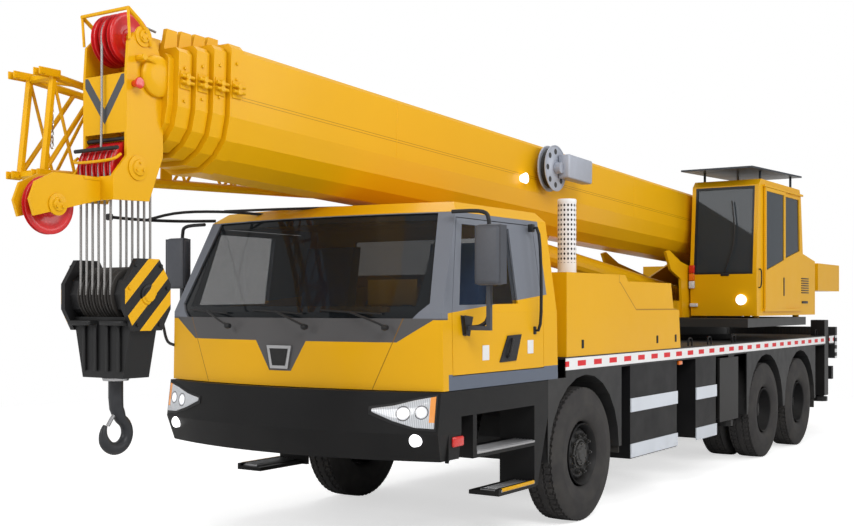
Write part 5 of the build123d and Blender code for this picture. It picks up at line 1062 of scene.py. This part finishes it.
forged = clouded("forged_hook", (0.020, 0.021, 0.024), (0.045, 0.046, 0.050), 14.0, 4.0, Specular_IOR_Level=0.22)
forged.feed(Roughness=0.38)
forged.grain(70.0, 0.0012, 0.5, 3.0)
swing = np.radians(np.concatenate([np.linspace(118, 180, 8), np.linspace(190, 360, 20), np.linspace(368, 394, 4)]))
BOWL = (5.599, 0.985)  # the middle of the hook's bowl, x and z
BOWL_RADIUS = 0.091
curve = [(BOWL[0] + BOWL_RADIUS * math.cos(turn), 0.0, BOWL[1] + BOWL_RADIUS * math.sin(turn)) for turn in swing]
shank = [(5.595, 0.0, 1.42), (5.595, 0.0, 1.20), (5.590, 0.0, 1.135), (5.572, 0.0, 1.095)]
bowl_thick = np.interp(np.degrees(swing), [118, 180, 270, 330, 394], [0.034, 0.036, 0.039, 0.034, 0.014])
thick = np.concatenate([[0.044, 0.044, 0.042, 0.040], bowl_thick])
forging = bar(np.concatenate([shank, curve]), thick, 20, 0)
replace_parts(piece("forged_hook", [forging], forged, "hook", 60), "hook")
latch = [lathe([(1.300, 0.040), (1.300, 0.075), (1.316, 0.080), (1.318, 0.040)], (5.595, 0.0, 0.0), 32, axis=2),
         bar([(5.575, 0.0, 1.120), (5.62, 0.0, 1.085), (5.655, 0.0, 1.035)], 0.012, rounds=1),
         lathe([(-0.030, 0.012), (0.030, 0.012)], (5.577, 0.0, 1.120), 12)]
piece("hook_latch", latch, brushed, "hook")


# ---- Stowed lattice jib ---------------------------------------------------------------------------
# The zigzag braces welded between the tapering frame's chords, its forks with pin lugs at the
# front, and a short chain that ties it to the boom's side.
JIB_TOP_FRONT, JIB_TOP_REAR = np.array((5.695, 3.150)), np.array((2.345, 2.760))
JIB_LOW_FRONT, JIB_LOW_REAR = np.array((5.765, 2.550)), np.array((2.345, 2.660))
BAYS = 14


def jib_point(low, share, side):
    """A point on a chord: between its front and rear ends, closing on the middle towards the rear."""
    front, rear = (JIB_LOW_FRONT, JIB_LOW_REAR) if low else (JIB_TOP_FRONT, JIB_TOP_REAR)
    x, z = front + (rear - front) * share
    return (x, -0.560 + side * 0.110 * (1 - share), z)


lattice = []
for bay in range(BAYS):
    near, far = bay / BAYS, (bay + 1) / BAYS
    for side in (1, -1):
        lattice.append(bar((jib_point(bay % 2, near, side), jib_point(1 - bay % 2, far, side)), 0.011, 8, 0))
    way = 1 if bay % 2 else -1
    for low in (0, 1):
        lattice.append(bar((jib_point(low, near, way), jib_point(low, far, -way)), 0.010, 8, 0))
for low, end_x, drop in ((0, 5.825, 0.012), (1, 5.840, -0.004)):
    for side in (1, -1):
        start = jib_point(low, 0.0, side)
        fork_y, fork_z = start[1] + side * 0.010, start[2] + drop
        for y in (fork_y - 0.026, fork_y + 0.026):
            prong = (start[0] - 0.03, y - 0.006, fork_z - 0.024), (end_x, y + 0.006, fork_z + 0.024)
            lattice.append(slab(*prong, 0.005))
            lattice.append(lathe([(y - 0.012, 0.018), (y + 0.012, 0.018)], (end_x - 0.028, 0.0, fork_z), 16))
for side in (1, -1):
    lattice.append(bar((jib_point(0, 0.10, side), jib_point(1, 0.0, side)), 0.016, 8, 0))
for share in (0.12, 0.45, 0.75):
    for low in (0, 1):
        lattice.append(bar((jib_point(low, share, 1), jib_point(low, share, -1)), 0.012, 8, 0))
piece("jib_braces", lattice, boom_yellow, "boom")
links = []
flat = np.linspace(0, 2 * math.pi, 17)
for link in range(12):
    wide = 0.010 * np.cos(flat)
    ring = [5.705 + wide * (link % 2), -0.445 + wide * (1 - link % 2), 3.10 - link * 0.034 + 0.022 * np.sin(flat)]
    links.append(bar(np.stack(ring, axis=-1), 0.0042, 6, 0))
piece("jib_chain", links, brushed, "boom", 60)

chrome = Finish("rod_chrome", Metallic=1.0, Base_Color=(0.72, 0.72, 0.72))
chrome.uneven(30.0, 2.0, 0.08, 0.12)
dress(chrome, "luff_rod")


# ---- Outriggers and tail --------------------------------------------------------------------------
# Box beams with their end covers and jacks, black like the frame; the front pair's covers have
# pressed folds. Rubber flaps hang behind the front and rear wheels.
outrigger_black = Finish("outrigger_black", Specular_IOR_Level=0.18)
outrigger_black.feed(Base_Color=dusty(outrigger_black, (0.013, 0.0125, 0.0125), amount=0.15), Roughness=0.42)
outrigger_black.grain(150.0, 0.0006, 0.35)
for corner in ("front_left", "front_right", "rear_left", "rear_right"):
    dress(outrigger_black, f"outrigger_beam_{corner}", f"outrigger_jack_{corner}")
for side, hand in SIDES:
    low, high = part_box(f"outrigger_beam_front_{hand}")
    folds = [slab((x, side * 1.243, 0.56), (x + 0.012, side * 1.2499, 1.17), 0.003)
             for x in low[0] + 0.05 + np.arange(3) * 0.19]
    piece(f"cover_folds_{hand}", folds, outrigger_black, f"outrigger_beam_front_{hand}")
flap_rubber = clouded("flap_rubber", (0.02, 0.02, 0.02), (0.05, 0.047, 0.042), 4.0, 4.0,
                      Roughness=0.7, Specular_IOR_Level=0.25)
flap_rubber.relief(flap_rubber.z.stripe(0.04), 0.003, 0.4)
flaps = [slab((low_x, side * inner_y, low_z), (high_x, side * 1.235, 1.24), 0.004) for side in (1, -1)
         for low_x, high_x, inner_y, low_z in ((-4.975, -4.962, 0.62, 0.42), (1.120, 1.132, 0.93, 0.48))]
piece("mud_flaps", flaps, flap_rubber)
